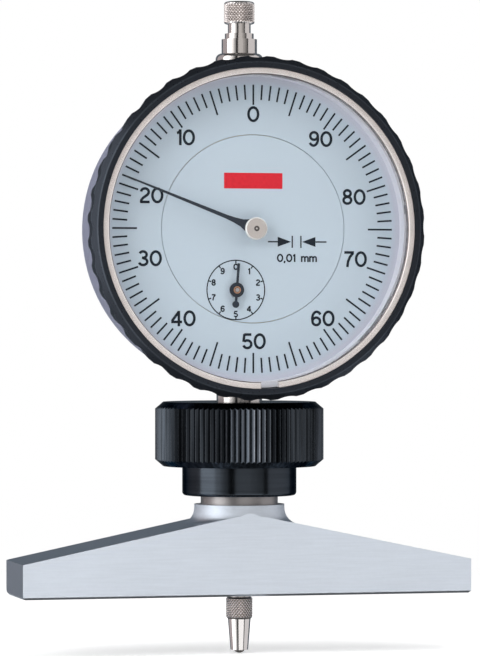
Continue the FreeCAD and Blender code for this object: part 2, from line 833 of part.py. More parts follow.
left_x = -S.rack_side.value
left_y = -wheel_drop.value
right_x = S.rack_side.value
right_y = wheel_drop.value
pivot_hole = S.pivot_diameter.value / 2 + S.running_fit.value
tenon_hole = S.tenon_diameter.value / 2
plate_front = S.plate_height + S.plate_thickness
front_plate_front = S.front_plate_height + S.front_plate_thickness
front_pillars = [(S.front_pillar_reach.value, -S.front_pillar_rise.value),
                 (-S.front_pillar_reach.value, S.front_pillar_rise.value)]
bridge_pillars = [(-S.bridge_pillar_reach.value, left_y + S.bridge_pillar_rise.value),
                  (-S.bridge_pillar_reach.value, left_y - S.bridge_pillar_rise.value)]
dial_feet = [(-S.dial_foot_reach.value, S.dial_foot.value), (S.dial_foot_reach.value, -S.dial_foot.value)]
post_y = S.pin_rise - S.spring_length
rail_low = S.pin_rise - S.pin_diameter / 2 - S.rail_wall - S.thread_fit
rail_high = S.pin_rise + S.spindle_travel + S.pin_diameter / 2 + S.rail_wall + S.thread_fit
rail_x = S.rail_near + S.rail_width / 2
rail_pegs = [rail_low + S.tenon_diameter, rail_high - S.tenon_diameter]



def plate_hole(name, radius, x, y):
    """A hole through the middle plate."""
    return rod(name, radius, x, y, S.plate_height - S.overrun, S.plate_thickness + S.overrun * 2)


plate_holes = [plate_hole(f"TenonHole{number}", S.tenon_diameter / 2, x, y)
               for number, (x, y) in enumerate(front_pillars + bridge_pillars, start=1)]
plate_holes += around(lambda number, x, y: plate_hole(
    f"PlateScrewHole{number}", S.case_screw / 2 + S.screw_clearance, x, y))
plate_holes += [plate_hole(f"PegHole{number}", S.peg_diameter / 2, rail_x, y)
                for number, y in enumerate(rail_pegs, start=1)]
plate_holes += [
    plate_hole("LeftArborHole", S.arbor_diameter / 2 + S.screw_clearance, -S.rack_side, -wheel_drop),
    plate_hole("CentrePivotHole", S.pivot_diameter / 2 + S.running_fit, 0, 0),
    plate_hole("RightPivotHole", S.pivot_diameter / 2 + S.running_fit, S.rack_side, wheel_drop),
    plate_hole("PostHole", S.post_diameter / 2, S.spring_reach, post_y),
]
plate_blank = rod("PlateBlank", case_bore - S.plate_margin, z=S.plate_height, length=S.plate_thickness)
keep("middle_plate", in_dial_frame(cut("MiddlePlate", plate_blank, *plate_holes)))
screws("plate_screws", boss_places, S.case_screw, S.case_screw_head, S.case_screw_length, plate_front, 1)

bearing = S.front_plate_round.value
front_screw_hole = S.movement_screw.value / 2 + S.screw_clearance.value
stud_x = S.rack_side.value + S.hairspring_reach.value
stud_y = right_y
front_round = [(left_x, left_y, bearing), (*front_pillars[0], bearing), (right_x, right_y, bearing),
               (*front_pillars[1], bearing)]
front_holes = [(left_x, left_y, pivot_hole), (0, 0, pivot_hole), (right_x, right_y, pivot_hole)]
front_holes += [(x, y, front_screw_hole) for x, y in front_pillars]
front_holes += [(x, y, S.dial_foot.value / 2 + S.snug_fit.value) for x, y in dial_feet]
front_plate = plate(front_round, S.front_plate_height.value, S.front_plate_thickness.value, front_holes)
stud_arm = Part.makeBox(stud_x - right_x, S.stud_diameter.value * 2, S.front_plate_thickness.value,
                        Vector(right_x, right_y - S.stud_diameter.value, S.front_plate_height.value))
stud_arm = stud_arm.fuse(Part.makeCylinder(S.stud_diameter.value, S.front_plate_thickness.value,
                                           Vector(stud_x, stud_y, S.front_plate_height.value)))
stud_arm = stud_arm.cut(Part.makeCylinder(pivot_hole, S.case_back.value * 2, Vector(right_x, right_y, 0)))
front_plate = front_plate.fuse(stud_arm).removeSplitter()
keep("front_plate", in_dial_frame(shaped("FrontPlate", front_plate)))


def pillar_group(label, places, bottom, top, hole_at_top):
    """Turned pillars with a tenon into the middle plate and a tapped hole at the other end."""
    radius = S.pillar_diameter.value / 2
    tenon = tenon_hole - S.snug_fit.value
    tapped_radius = S.movement_screw.value / 2 + S.snug_fit.value
    depth = S.movement_screw_length.value
    copies = []
    for x, y in places:
        pillar = Part.makeCylinder(radius, top - bottom, Vector(x, y, bottom))
        foot = Vector(x, y, S.plate_height.value)
        pillar = pillar.fuse(Part.makeCylinder(tenon, S.plate_thickness.value, foot))
        hole_from = top - depth if hole_at_top else bottom
        pillar = pillar.cut(Part.makeCylinder(tapped_radius, depth, Vector(x, y, hole_from)))
        copies.append(pillar.removeSplitter())
    return keep(label, in_dial_frame(shaped(label, *copies)))


movement_screw_length = S.movement_screw_length - S.screw_clearance
pillar_group("front_pillars", front_pillars, plate_front.value, S.front_plate_height.value, True)
screws("front_plate_screws", front_pillars, S.movement_screw, S.movement_screw_head, movement_screw_length,
       front_plate_front, 1)

bridge_front = -S.bridge_back
bridge_behind = bridge_front - S.bridge_thickness
pillar_group("bridge_pillars", bridge_pillars, bridge_front.value, S.plate_height.value, False)
rack_bridge = plate(
    [(x, y, S.bridge_round.value) for x, y in [(left_x, left_y), *bridge_pillars]],
    bridge_behind.value,
    S.bridge_thickness.value,
    [(left_x, left_y, pivot_hole)] + [(x, y, front_screw_hole) for x, y in bridge_pillars],
)
keep("rack_bridge", in_dial_frame(shaped("RackBridge", rack_bridge)))
screws("bridge_screws", bridge_pillars, S.movement_screw, S.movement_screw_head, movement_screw_length,
       bridge_behind, -1)

# Rack-and-gear movement

def involute(angle):
    return math.tan(angle) - angle


def toothed_outline(count, module, share, reach, depth, steps, lead=0):
    """A gear's outline as (x, y) points, with a tooth centred on the lead angle (in radians).

    share is how much of the pitch a tooth fills at the pitch circle; reach and depth are its height above and
    below that circle, in modules. Flanks are involutes in that many straight steps.
    """
    pitch_radius = module * count / 2
    base_radius = pitch_radius * math.cos(PRESSURE)
    outer = pitch_radius + module * reach
    inner = pitch_radius - module * depth
    half_at_pitch = math.pi * share / count
    flank = []
    for step in range(steps + 1):
        radius = inner + (outer - inner) * step / steps
        rolled = math.acos(min(1, base_radius / radius))
        flank.append((radius, half_at_pitch + involute(PRESSURE) - involute(rolled)))
    points = []
    for tooth in range(count):
        middle = lead + 2 * math.pi * tooth / count
        for side, stations in ((-1, flank), (1, reversed(flank))):
            for radius, half in stations:
                angle = middle + side * half
                points.append((radius * math.cos(angle), radius * math.sin(angle)))
    return points


LEAF_SHARE = 0.44
LEAF_REACH = 0.9
LEAF_DEPTH = 1.35
TOOTH_SHARE = 0.46
TOOTH_REACH = 0.85
TOOTH_DEPTH = 1.2
mesh_angle = math.atan2(wheel_drop.value, S.rack_side.value)
wheel_height = plate_front + S.screw_head_height + S.screw_clearance
wheel_front = wheel_height + S.wheel_thickness
hub_front = wheel_front + S.wheel_thickness


def arbor(corners):
    """A turned arbor from (diameter, height) steps: each diameter runs up to the next step's height."""
    shape = None
    for (diameter, bottom), (_, top) in zip(corners, corners[1:]):
        step = Part.makeCylinder(sized(diameter).value / 2, sized(top).value - sized(bottom).value,
                                 Vector(0, 0, sized(bottom).value))
        shape = step if shape is None else shape.fuse(step)
    return shape


def wheel(lead):
    """A crossed-out wheel with four spokes and a hub bored for its arbor."""
    count = round(S.wheel_teeth.value)
    bottom = wheel_height.value
    top = bottom + S.wheel_thickness.value
    outline_points = toothed_outline(
        count, S.wheel_module.value, TOOTH_SHARE, TOOTH_REACH, TOOTH_DEPTH, 1, lead)
    body = prism(outline_points, bottom, top)
    rim_inside = S.wheel_module.value * (count / 2 - TOOTH_DEPTH) - S.wheel_rim.value
    ring = Part.makeCylinder(rim_inside, top - bottom, Vector(0, 0, bottom))
    inner = S.wheel_hub.value + S.wheel_rim.value
    ring = ring.cut(Part.makeCylinder(inner, top - bottom, Vector(0, 0, bottom)))
    half = S.wheel_spoke.value / 2
    for size_x, size_y in ((rim_inside, half), (half, rim_inside)):
        ring = ring.cut(Part.makeBox(2 * size_x, 2 * size_y, top - bottom, Vector(-size_x, -size_y, bottom)))
    hub = Part.makeCylinder(S.wheel_hub.value, 2 * (top - bottom), Vector(0, 0, bottom))
    bore = Part.makeCylinder(S.arbor_diameter.value / 2, 2 * (top - bottom), Vector(0, 0, bottom))
    return body.cut(ring).fuse(hub).cut(bore)


def leaves(count, module, lead, bottom, top):
    return prism(toothed_outline(count, module, LEAF_SHARE, LEAF_REACH, LEAF_DEPTH, 3, lead), bottom, top)


half_rack = S.rack_width.value / 2
hand_pivot = S.hand_pivot_diameter
counter_top = S.counter_hand_height + S.hand_thickness + S.dial_thickness
rack_arbor = arbor([
    (S.pivot_diameter, bridge_behind + S.screw_clearance),
    (S.arbor_diameter, bridge_front + S.screw_clearance),
    (S.pivot_diameter, S.front_plate_height - S.screw_clearance),
    (hand_pivot, front_plate_front),
    (0, counter_top),
])
rack_leaves = round(S.rack_pinion_leaves.value)
rack_arbor = rack_arbor.fuse(leaves(rack_leaves, S.rack_module.value, 0, -half_rack, half_rack))
keep("rack_pinion", in_dial_frame(shaped("RackPinion", rack_arbor), -S.rack_side, -wheel_drop))
keep("first_wheel", in_dial_frame(shaped("FirstWheel", wheel(mesh_angle)), -S.rack_side, -wheel_drop))

main_hand_top = S.main_hand_height + S.hand_thickness
leaf_margin = S.wheel_thickness.value / 2
pinion_bottom = wheel_height.value - leaf_margin
pinion_top = hub_front.value + leaf_margin
centre_arbor = arbor([
    (S.pivot_diameter, S.plate_height + S.screw_clearance),
    (S.arbor_diameter, plate_front + S.screw_clearance),
    (S.pivot_diameter, S.front_plate_height - S.screw_clearance),
    (hand_pivot, front_plate_front),
    (0, main_hand_top),
])
half_leaf = math.pi / round(S.pinion_leaves.value)
centre_arbor = centre_arbor.fuse(leaves(round(S.pinion_leaves.value), S.wheel_module.value,
                                        mesh_angle + half_leaf, pinion_bottom, pinion_top))
keep("centre_pinion", in_dial_frame(shaped("CentrePinion", centre_arbor)))

collet_low = hub_front + S.screw_clearance
take_up_arbor = arbor([
    (S.pivot_diameter, S.plate_height + S.screw_clearance),
    (S.arbor_diameter, plate_front + S.screw_clearance),
    (S.hairspring_collet, collet_low),
    (S.arbor_diameter, S.front_plate_height - S.screw_clearance * 3),
    (S.pivot_diameter, S.front_plate_height - S.screw_clearance),
    (0, front_plate_front),
])
keep("take_up_arbor", in_dial_frame(shaped("TakeUpArbor", take_up_arbor), S.rack_side, wheel_drop))
take_up_wheel = shaped("TakeUpWheel", wheel(mesh_angle + math.pi))
keep("take_up_wheel", in_dial_frame(take_up_wheel, S.rack_side, wheel_drop))


SPIRAL_POINTS = 12


def hairspring_strip():
    """A flat spiral from just outside its collet to the stud."""
    inner = S.hairspring_collet.value / 2 + S.screw_clearance.value
    outer = S.hairspring_reach.value - S.stud_diameter.value / 2 - S.hairspring_strip.value
    turns = S.hairspring_turns.value
    steps = round(turns * SPIRAL_POINTS)
    sides = []
    for shift in (0, S.hairspring_strip.value):
        side = []
        for step in range(steps + 1):
            angle = 2 * math.pi * step / SPIRAL_POINTS
            radius = inner + shift + (outer - inner) * step / steps
            side.append(Vector(radius * math.cos(angle), radius * math.sin(angle), 0))
        curve = Part.BSplineCurve()
        curve.interpolate(side)
        sides.append(curve.toShape())
    ends = [Part.makeLine(sides[0].valueAt(sides[0].FirstParameter), sides[1].valueAt(sides[1].FirstParameter)),
            Part.makeLine(sides[0].valueAt(sides[0].LastParameter), sides[1].valueAt(sides[1].LastParameter))]
    face = Part.Face(Part.Wire(Part.__sortEdges__(sides + ends)))
    strip = face.extrude(Vector(0, 0, S.hairspring_width.value))
    strip.translate(Vector(0, 0, collet_low.value + S.screw_clearance.value))
    return strip


keep("hairspring", in_dial_frame(shaped("Hairspring", hairspring_strip()), S.rack_side, wheel_drop))
stud_height = S.front_plate_height.value - collet_low.value
stud = Part.makeCylinder(S.stud_diameter.value / 2, stud_height, Vector(stud_x, stud_y, collet_low.value))
keep("hairspring_stud", in_dial_frame(shaped("HairspringStud", stud)))

# Guide rail, return spring and its post

rail = Part.makeBox(S.rail_width.value, (rail_high - rail_low).value, (S.plate_height + S.rail_back).value,
                    Vector(S.rail_near.value, rail_low.value, -S.rail_back.value))
slot_half = S.pin_diameter.value / 2 + S.running_fit.value
rail = rail.cut(Part.makeBox(S.rail_width.value, (rail_high - rail_low - S.rail_wall * 2).value, 2 * slot_half,
                             Vector(S.rail_near.value, (rail_low + S.rail_wall).value, -slot_half)))
for y in rail_pegs:
    rail = rail.fuse(Part.makeCylinder(S.peg_diameter.value / 2 - S.snug_fit.value,
                                       (S.plate_height + S.plate_thickness).value - slot_half * 2,
                                       Vector(rail_x.value, y.value, slot_half * 2)))
keep("guide_rail", in_dial_frame(shaped("GuideRail", rail)))

wire_radius = S.spring_wire.value / 2
coil_radius = S.spring_coil.value / 2
eye_radius = S.pin_diameter.value / 2 + wire_radius + S.thread_fit.value


def return_spring():
    """A coil with an eye round the guide pin above and an eye round the post below."""
    x = S.spring_reach.value
    low = post_y.value + eye_radius + coil_radius
    high = S.pin_rise.value - eye_radius - coil_radius
    turns = round(S.spring_turns.value)
    helix = Part.makeHelix((high - low) / turns, high - low, coil_radius)
    profile = Part.Wire([Part.Circle(Vector(coil_radius, 0, 0), Vector(0, 1, 0), wire_radius).toShape()])
    coil = Part.Wire(helix.Edges).makePipeShell([profile], True, True)
    coil.rotate(Vector(), Vector(1, 0, 0), -90)
    coil.translate(Vector(x, low, 0))
    lower_eye = Part.makeTorus(eye_radius, wire_radius, Vector(x, post_y.value, 0), Vector(0, 0, 1))
    upper_eye = Part.makeTorus(eye_radius, wire_radius, Vector(x, S.pin_rise.value, 0), Vector(1, 0, 0))
    legs = []
    for end, eye_end in ((low, post_y.value + eye_radius), (high, S.pin_rise.value - eye_radius)):
        bend = Vector(x + coil_radius, end, 0)
        legs.append(Part.makeSphere(wire_radius, bend))
        run = Vector(x, eye_end, 0) - bend
        legs.append(Part.makeCylinder(wire_radius, run.Length, bend, run))
    return coil.multiFuse([lower_eye, upper_eye] + legs)


keep("return_spring", in_dial_frame(shaped("ReturnSpring", return_spring())))
post_length = S.plate_height.value + S.plate_thickness.value + S.rail_back.value
post = Part.makeCylinder(S.post_diameter.value / 2 - S.snug_fit.value, post_length,
                         Vector(S.spring_reach.value, post_y.value, -S.rail_back.value))
keep("spring_post", in_dial_frame(shaped("SpringPost", post)))

# Dial: fixed middle disc with two feet, the outer scale, and the hands

dial_back = S.dial_face - S.dial_thickness
dial_disc = rod("DialDisc", S.dial_plate_radius, z=dial_back, length=S.dial_thickness)
feet = [rod(f"DialFoot{number}", S.dial_foot / 2, x, y, S.front_plate_height, dial_back - S.front_plate_height)
        for number, (x, y) in enumerate(dial_feet, start=1)]
dial_solid = joined("DialSolid", dial_disc, *feet)
window_depth = S.dial_thickness + S.overrun * 2
centre_window = rod("DialCentreHole", S.dial_hole / 2, z=dial_back - S.overrun, length=window_depth)
counter_window = rod("DialCounterHole", S.dial_hole / 2, -S.rack_side, -wheel_drop, dial_back - S.overrun,
                     window_depth)
keep("dial_plate", in_dial_frame(cut("DialPlate", dial_solid, centre_window, counter_window)))

ring_thickness = S.dial_thickness + S.dial_gap
keep("dial_ring", in_dial_frame(turned("DialRing", [
    (S.dial_plate_radius + S.dial_gap, S.dial_face - ring_thickness),
    (dial_ring_radius, S.dial_face - ring_thickness),
    (dial_ring_radius, S.dial_face),
    (S.dial_plate_radius + S.dial_gap, S.dial_face),
])))


HUB_SHOULDER = (0.8, 0.6)


def main_hand():
    """A flat tapered hand on a short tube; it leaves its hub's rim at the shoulder, given in hub radii."""
    hub = S.hub_cap_diameter.value / 2 - S.bezel_fit.value
    shoulder_x, shoulder_y = HUB_SHOULDER
    stations = [
        (hub * shoulder_x, hub * shoulder_y),
        (S.main_hand_root_reach.value, S.main_hand_root.value / 2),
        ((S.main_hand_root_reach.value + S.main_hand_waist_reach.value) / 2,
         (S.main_hand_root.value + 2 * S.main_hand_waist.value) / 6),
        (S.main_hand_waist_reach.value, S.main_hand_waist.value / 2),
        ((bezel_ledge - S.main_hand_stop).value, S.main_hand_tip.value / 2),
    ]
    edge = [(0, -hub * shoulder_y)] + [(x, -y) for x, y in stations]
    edge += [(x, y) for x, y in reversed(stations)] + [(0, hub * shoulder_y)]
    bottom = S.main_hand_height.value
    top = bottom + S.hand_thickness.value
    tube_bottom = bottom - S.dial_thickness.value
    hand = prism(edge, bottom, top)
    hand = hand.fuse(Part.makeCylinder(hub, top - bottom, Vector(0, 0, bottom)))
    hand = hand.fuse(Part.makeCylinder(S.dial_hole.value / 2, bottom - tube_bottom, Vector(0, 0, tube_bottom)))
    return hand.cut(Part.makeCylinder(hand_pivot.value / 2, top - tube_bottom, Vector(0, 0, tube_bottom)))


hand_shape = main_hand()
hand_shape.rotate(Vector(), Vector(0, 0, 1), S.main_hand_angle.value)
keep("main_hand", in_dial_frame(shaped("MainHand", hand_shape)))

hub_radius = S.hub_cap_diameter / 2
hub_cap_top = main_hand_top + S.hub_cap_height
hub_cap = turned("HubCap", [
    (0, main_hand_top),
    (hub_radius, main_hand_top),
    (hub_radius, hub_cap_top - S.hub_cap_bevel),
    (hub_radius - S.hub_cap_bevel, hub_cap_top),
    (hand_pivot / 2, hub_cap_top),
    (0, hub_cap_top - S.hub_cap_bevel),
])
keep("hub_cap", in_dial_frame(hub_cap))


def counter_hand():
    """The turn counter's hand: a hub disc, a straight arm and a short tail with a small disc."""
    bottom = S.counter_hand_height.value
    thickness = S.hand_thickness.value
    half = S.counter_hand_width.value / 2
    length = S.counter_hand_length.value
    tail = S.counter_hand_tail.value
    hand = Part.makeBox(2 * half, length + tail, thickness, Vector(-half, -tail, bottom))
    hand = hand.fuse(Part.makeCylinder(S.counter_hand_hub.value / 2, thickness, Vector(0, 0, bottom)))
    hand = hand.fuse(Part.makeCylinder(S.counter_hand_disc.value / 2, thickness, Vector(0, -tail, bottom)))
    return hand.cut(Part.makeCylinder(S.counter_bush_diameter.value / 2, thickness, Vector(0, 0, bottom)))


counter_shape = counter_hand()
counter_shape.rotate(Vector(), Vector(0, 0, 1), S.counter_hand_angle.value)
keep("counter_hand", in_dial_frame(shaped("CounterHand", counter_shape), -S.rack_side, -wheel_drop))
counter_bush = turned("CounterBush", [
    (hand_pivot / 2, S.dial_face + S.dial_gap),
    (S.counter_bush_diameter / 2, S.dial_face + S.dial_gap),
    (S.counter_bush_diameter / 2, counter_top - S.screw_clearance),
    (hand_pivot / 2, counter_top - S.screw_clearance),
])
keep("counter_hand_bush", in_dial_frame(counter_bush, -S.rack_side, -wheel_drop))

# Bezel with its wavy rim, the crystal, its split ring and the wire that holds the bezel on the case

bezel_back = S.bezel_seat_height + S.screw_clearance * 2
dial_pocket = dial_ring_radius + S.thread_fit
bezel_blank = turned("BezelBlank", [
    (skirt, bezel_back),
    (bezel_back_radius, bezel_back),
    (S.bezel_radius, S.bezel_widest),
    (S.bezel_radius - S.bezel_lip_inset, S.bezel_front),
    (bezel_bore, S.bezel_front),
    (bezel_bore, S.crystal_seat),
    (bezel_ledge, S.crystal_seat),
    (bezel_ledge, S.dial_face),
    (dial_pocket, S.dial_face),
    (dial_pocket, S.case_rim + S.screw_clearance),
    (skirt, S.case_rim + S.screw_clearance),
    (skirt, S.wire_height + wire_groove),
    (skirt + wire_groove, S.wire_height + wire_groove),
    (skirt + wire_groove, S.wire_height - wire_groove),
    (skirt, S.wire_height - wire_groove),
])
eased(bezel_blank, "Fillet", (S.bezel_front - S.bezel_widest) / 4, rim_at(S.bezel_radius, S.bezel_widest))


def rim_flutes():
    """Shallow flutes along the bezel's tapered side."""
    count = round(S.bezel_flutes.value)
    low = bezel_back.value
    rise = S.bezel_widest.value - low
    run = Vector(S.bezel_taper.value, 0, rise)
    centre = bezel_back_radius.value - S.bezel_flute_depth.value + S.bezel_flute_radius.value
    start = Vector(centre, 0, low) - run
    flute = Part.makeCylinder(S.bezel_flute_radius.value, run.Length * 3, start, run)
    copies = []
    for number in range(count):
        copy = flute.copy()
        copy.rotate(Vector(), Vector(0, 0, 1), S.bezel_flute_start.value + number * 360 / count)
        copies.append(copy)
    return Part.makeCompound(copies)


keep("bezel", in_dial_frame(cut("Bezel", bezel_blank, shaped("RimFlutes", rim_flutes()))))

crystal_front = S.crystal_seat + S.crystal_thickness
keep("crystal", in_dial_frame(turned("Crystal", [
    (0, S.crystal_seat),
    (crystal_radius, S.crystal_seat),
    (crystal_radius, crystal_front),
    (0, crystal_front),
])))
ring_front = crystal_front + S.crystal_ring_thickness
ring_inside = crystal_radius - S.crystal_ring_width
ring_blank = turned("CrystalRingBlank", [
    (ring_inside, crystal_front),
    (crystal_radius, crystal_front),
    (crystal_radius, ring_front),
    (ring_inside + S.crystal_ring_bevel, ring_front),
    (ring_inside, ring_front - S.crystal_ring_bevel),
])
ring_gap = block("CrystalRingGap", S.crystal_ring_gap_side - S.crystal_ring_gap / 2, -S.bezel_radius,
                 crystal_front - S.overrun, S.crystal_ring_gap, S.bezel_radius / 2,
                 S.crystal_ring_thickness + S.overrun * 2)
keep("crystal_ring", in_dial_frame(cut("CrystalRing", ring_blank, ring_gap)))

wire = doc.addObject("Part::Torus", "BezelSpring")
bind(wire, "Radius1", bezel_seat + S.bezel_fit / 2)
bind(wire, "Radius2", S.wire_diameter / 2)
bind(wire, "Angle3", 360 - S.wire_opening)
keep("bezel_spring", place(wire, 0, -S.wire_height, S.dial_height, TO_FRONT))

# Check every object and write each sub-part

doc.recompute()
for item in doc.Objects:
    if "Invalid" in item.State or "Error" in item.State:
        raise RuntimeError(f"{item.Label} failed: {item.State}")
os.makedirs("parts", exist_ok=True)
for label, piece in parts.items():
    if piece.Shape.isNull() or not piece.Shape.isValid():
        raise RuntimeError(f"{label} has no valid shape")
    piece.Shape.exportStep(f"parts/{label}.step")
    print(label, len(piece.Shape.Solids), round(piece.Shape.Volume, 3))
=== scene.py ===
import bmesh
import bpy
import math
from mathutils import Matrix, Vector


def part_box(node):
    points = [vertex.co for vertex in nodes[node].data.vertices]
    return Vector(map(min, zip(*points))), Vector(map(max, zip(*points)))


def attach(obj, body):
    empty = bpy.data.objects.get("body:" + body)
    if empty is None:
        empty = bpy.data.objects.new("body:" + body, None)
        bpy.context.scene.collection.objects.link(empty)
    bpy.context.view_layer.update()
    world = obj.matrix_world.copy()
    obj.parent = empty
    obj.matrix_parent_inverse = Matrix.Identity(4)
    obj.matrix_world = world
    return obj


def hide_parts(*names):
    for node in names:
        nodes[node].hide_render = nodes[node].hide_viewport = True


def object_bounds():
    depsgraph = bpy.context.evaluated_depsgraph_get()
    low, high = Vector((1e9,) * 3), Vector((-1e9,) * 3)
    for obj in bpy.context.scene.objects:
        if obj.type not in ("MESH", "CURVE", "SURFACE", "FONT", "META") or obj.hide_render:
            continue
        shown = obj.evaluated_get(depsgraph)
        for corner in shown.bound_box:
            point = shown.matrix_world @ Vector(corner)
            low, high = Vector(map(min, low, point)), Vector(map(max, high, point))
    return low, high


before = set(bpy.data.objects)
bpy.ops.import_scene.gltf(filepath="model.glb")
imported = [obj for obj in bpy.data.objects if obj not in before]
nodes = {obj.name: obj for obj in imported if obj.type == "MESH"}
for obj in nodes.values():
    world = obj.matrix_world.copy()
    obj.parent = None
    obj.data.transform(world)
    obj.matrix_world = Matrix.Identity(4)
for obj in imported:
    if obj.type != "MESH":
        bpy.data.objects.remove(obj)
cad_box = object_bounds()

MM = 0.001

# Places and sizes in millimetres. Those that other pieces depend on are read from the frame.


def low_high(node):
    """The lowest and highest corners of a CAD node, in millimetres."""
    low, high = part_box(node)
    return low / MM, high / MM


ring_low, ring_high = low_high("dial_ring")
DIAL_HEIGHT = (ring_low.z + ring_high.z) / 2
DIAL_FACE = -ring_low.y
small_low, small_high = low_high("counter_hand_bush")
SMALL_X = (small_low.x + small_high.x) / 2
SMALL_Y = (small_low.z + small_high.z) / 2 - DIAL_HEIGHT
_, base_high = low_high("measuring_base")
BASE_HALF = base_high.y
DIAL_CENTRE = (0, 0, DIAL_HEIGHT)
RING_INSIDE = 26.48
KNURL_DEPTH = 0.17
KNURL_RISE = 0.62
CONE_LENGTH = 5.4
POINT_KNURL_LENGTH = 3.9
KNURL_EDGE = 0.35

# Node trees


class Field:
    """A value in a finish's node tree. Arithmetic on it adds the Math nodes that work it out."""

    def __init__(self, finish, socket):
        self.finish = finish
        self.socket = socket

    def _math(self, operation, *values):
        return self.finish.add("ShaderNodeMath", {"operation": operation}, dict(enumerate(values)))

    def __add__(self, other):
        return self._math("ADD", self, other)

    def __radd__(self, other):
        return self._math("ADD", other, self)

    def __sub__(self, other):
        return self._math("SUBTRACT", self, other)

    def __rsub__(self, other):
        return self._math("SUBTRACT", other, self)

    def __mul__(self, other):
        return self._math("MULTIPLY", self, other)

    def __rmul__(self, other):
        return self._math("MULTIPLY", other, self)

    def root(self):
        return self._math("SQRT", self)

    def sine(self):
        return self._math("SINE", self)

    def size(self):
        return self._math("ABSOLUTE", self)

    def ramp(self, low, high, start=0.0, end=1.0):
        """A smooth step from start at low to end at high."""
        return self.finish.add(
            "ShaderNodeMapRange",
            {"interpolation_type": "SMOOTHSTEP"},
            {"Value": self, "From Min": low, "From Max": high, "To Min": start, "To Max": end},
        )


class Nodes:
    """A node tree that nodes are added to one by one."""

    def __init__(self, tree):
        self.tree = tree

    def add(self, kind, settings, inputs, output=0):
        """Add a node of a kind with its settings, then its inputs, and give one of its outputs."""
        node = self.tree.nodes.new(kind)
        for name, value in settings.items():
            setattr(node, name, value)
        for name, value in inputs.items():
            self.feed(node.inputs[name], value)
        return Field(self, node.outputs[output])

    def feed(self, socket, value):
        if isinstance(value, Field):
            self.tree.links.new(value.socket, socket)
        else:
            socket.default_value = value

    def in_sight(self):
        """1 for rays from the camera, from mirrors and through glass, and 0 for rays that light matt things."""
        seen = self.add("ShaderNodeLightPath", {}, {}, "Is Camera Ray")
        for name in ("Is Glossy Ray", "Is Transmission Ray"):
            other = self.add("ShaderNodeLightPath", {}, {}, name)
            seen = self.add("ShaderNodeMath", {"operation": "MAXIMUM"}, {0: seen, 1: other})
        return seen


class Finish(Nodes):
    """A named material with one Principled shader; its look is added node by node."""

    def __init__(self, name, colour, roughness, metallic=0.0, **fixed):
        self.material = bpy.data.materials.new(name)
        self.material.use_nodes = True
        super().__init__(self.material.node_tree)
        self.shader = self.tree.nodes["Principled BSDF"]
        self.output = self.tree.nodes["Material Output"]
        self.set(**{"Base Color": (*colour, 1), "Roughness": roughness, "Metallic": metallic, **fixed})
        self.place = self.add("ShaderNodeTexCoord", {}, {}, "Object")

    def set(self, **values):
        for name, value in values.items():
            self.feed(self.shader.inputs[name], value)
        return self

    def stretched(self, x, y, z):
        """The place on the object times a factor each way, for grain that runs one way."""
        return self.add("ShaderNodeVectorMath", {"operation": "MULTIPLY"}, {0: self.place, 1: (x, y, z)})

    def noise(self, scale, detail=2.0, place=None):
        inputs = {"Vector": place or self.place, "Scale": scale, "Detail": detail}
        return self.add("ShaderNodeTexNoise", {}, inputs, "Fac")

    def axes(self, origin=(0, 0, 0)):
        """The place on the object from an origin, in millimetres, as three fields."""
        moved = self.add("ShaderNodeVectorMath", {"operation": "SUBTRACT"},
                         {0: self.place, 1: [value * MM for value in origin]})
        scaled = self.add("ShaderNodeVectorMath", {"operation": "SCALE"}, {0: moved, "Scale": 1 / MM})
        first = self.add("ShaderNodeSeparateXYZ", {}, {0: scaled})
        return [Field(self, socket) for socket in first.socket.node.outputs]

    def around(self, centre=DIAL_CENTRE):
        """The distance from the axis through a point of the dial, in millimetres."""
        x, _, z = self.axes(centre)
        return self.radius(x, z)

    def mix(self, share, first, second):
        """A colour between two colours."""
        inputs = {0: share, 6: self.colour(first), 7: self.colour(second)}
        return self.add("ShaderNodeMix", {"data_type": "RGBA"}, inputs, 2)

    def colour(self, value):
        return value if isinstance(value, Field) else (*value, 1)

    def bump(self, height, distance, strength=1.0):
        """Tilt the surface by a height field; distance is its depth in millimetres."""
        inputs = {"Height": height, "Distance": distance * MM, "Strength": strength}
        return self.set(Normal=self.add("ShaderNodeBump", {}, inputs))

    def radius(self, first, second):
        return (first * first + second * second).root()


def rgb(red, green, blue):
    """A linear colour from screen values of 0 to 255."""
    return tuple(
        value / 255 / 12.92 if value <= 10 else ((value / 255 + 0.055) / 1.055) ** 2.4
        for value in (red, green, blue)
    )


# Finishes


def ground_steel():
    """The base: satin ground on its front and back, and smoother on its ends, its slopes and its collar."""
    finish = Finish("ground_steel", (0.6, 0.62, 0.66), 0.38, 1.0)
    x, y, _ = finish.axes()
    grain = finish.noise(2600, 3, finish.stretched(0.06, 1, 1))
    cloud = finish.noise(70, 3)
    speck = finish.noise(1500, 2)
    share = 0.55 * grain + 0.3 * cloud + 0.15 * speck
    around = finish.radius(x, y)
    satin = y.size().ramp(BASE_HALF - 0.06, BASE_HALF - 0.01)
    collar = (1.0 - satin) * around.ramp(8.0, 8.7, 1.0, 0.0)
    finish.set(**{
        "Base Color": finish.mix(share, (0.60, 0.655, 0.725), (0.79, 0.85, 0.94)),
        "Metallic": 1.0 - 0.56 * satin - 0.3 * collar,
        "Roughness": 0.26 + 0.14 * grain + 0.05 * cloud + 0.05 * satin + 0.16 * collar,
    })
    return finish.bump(grain, 0.012, 0.5)


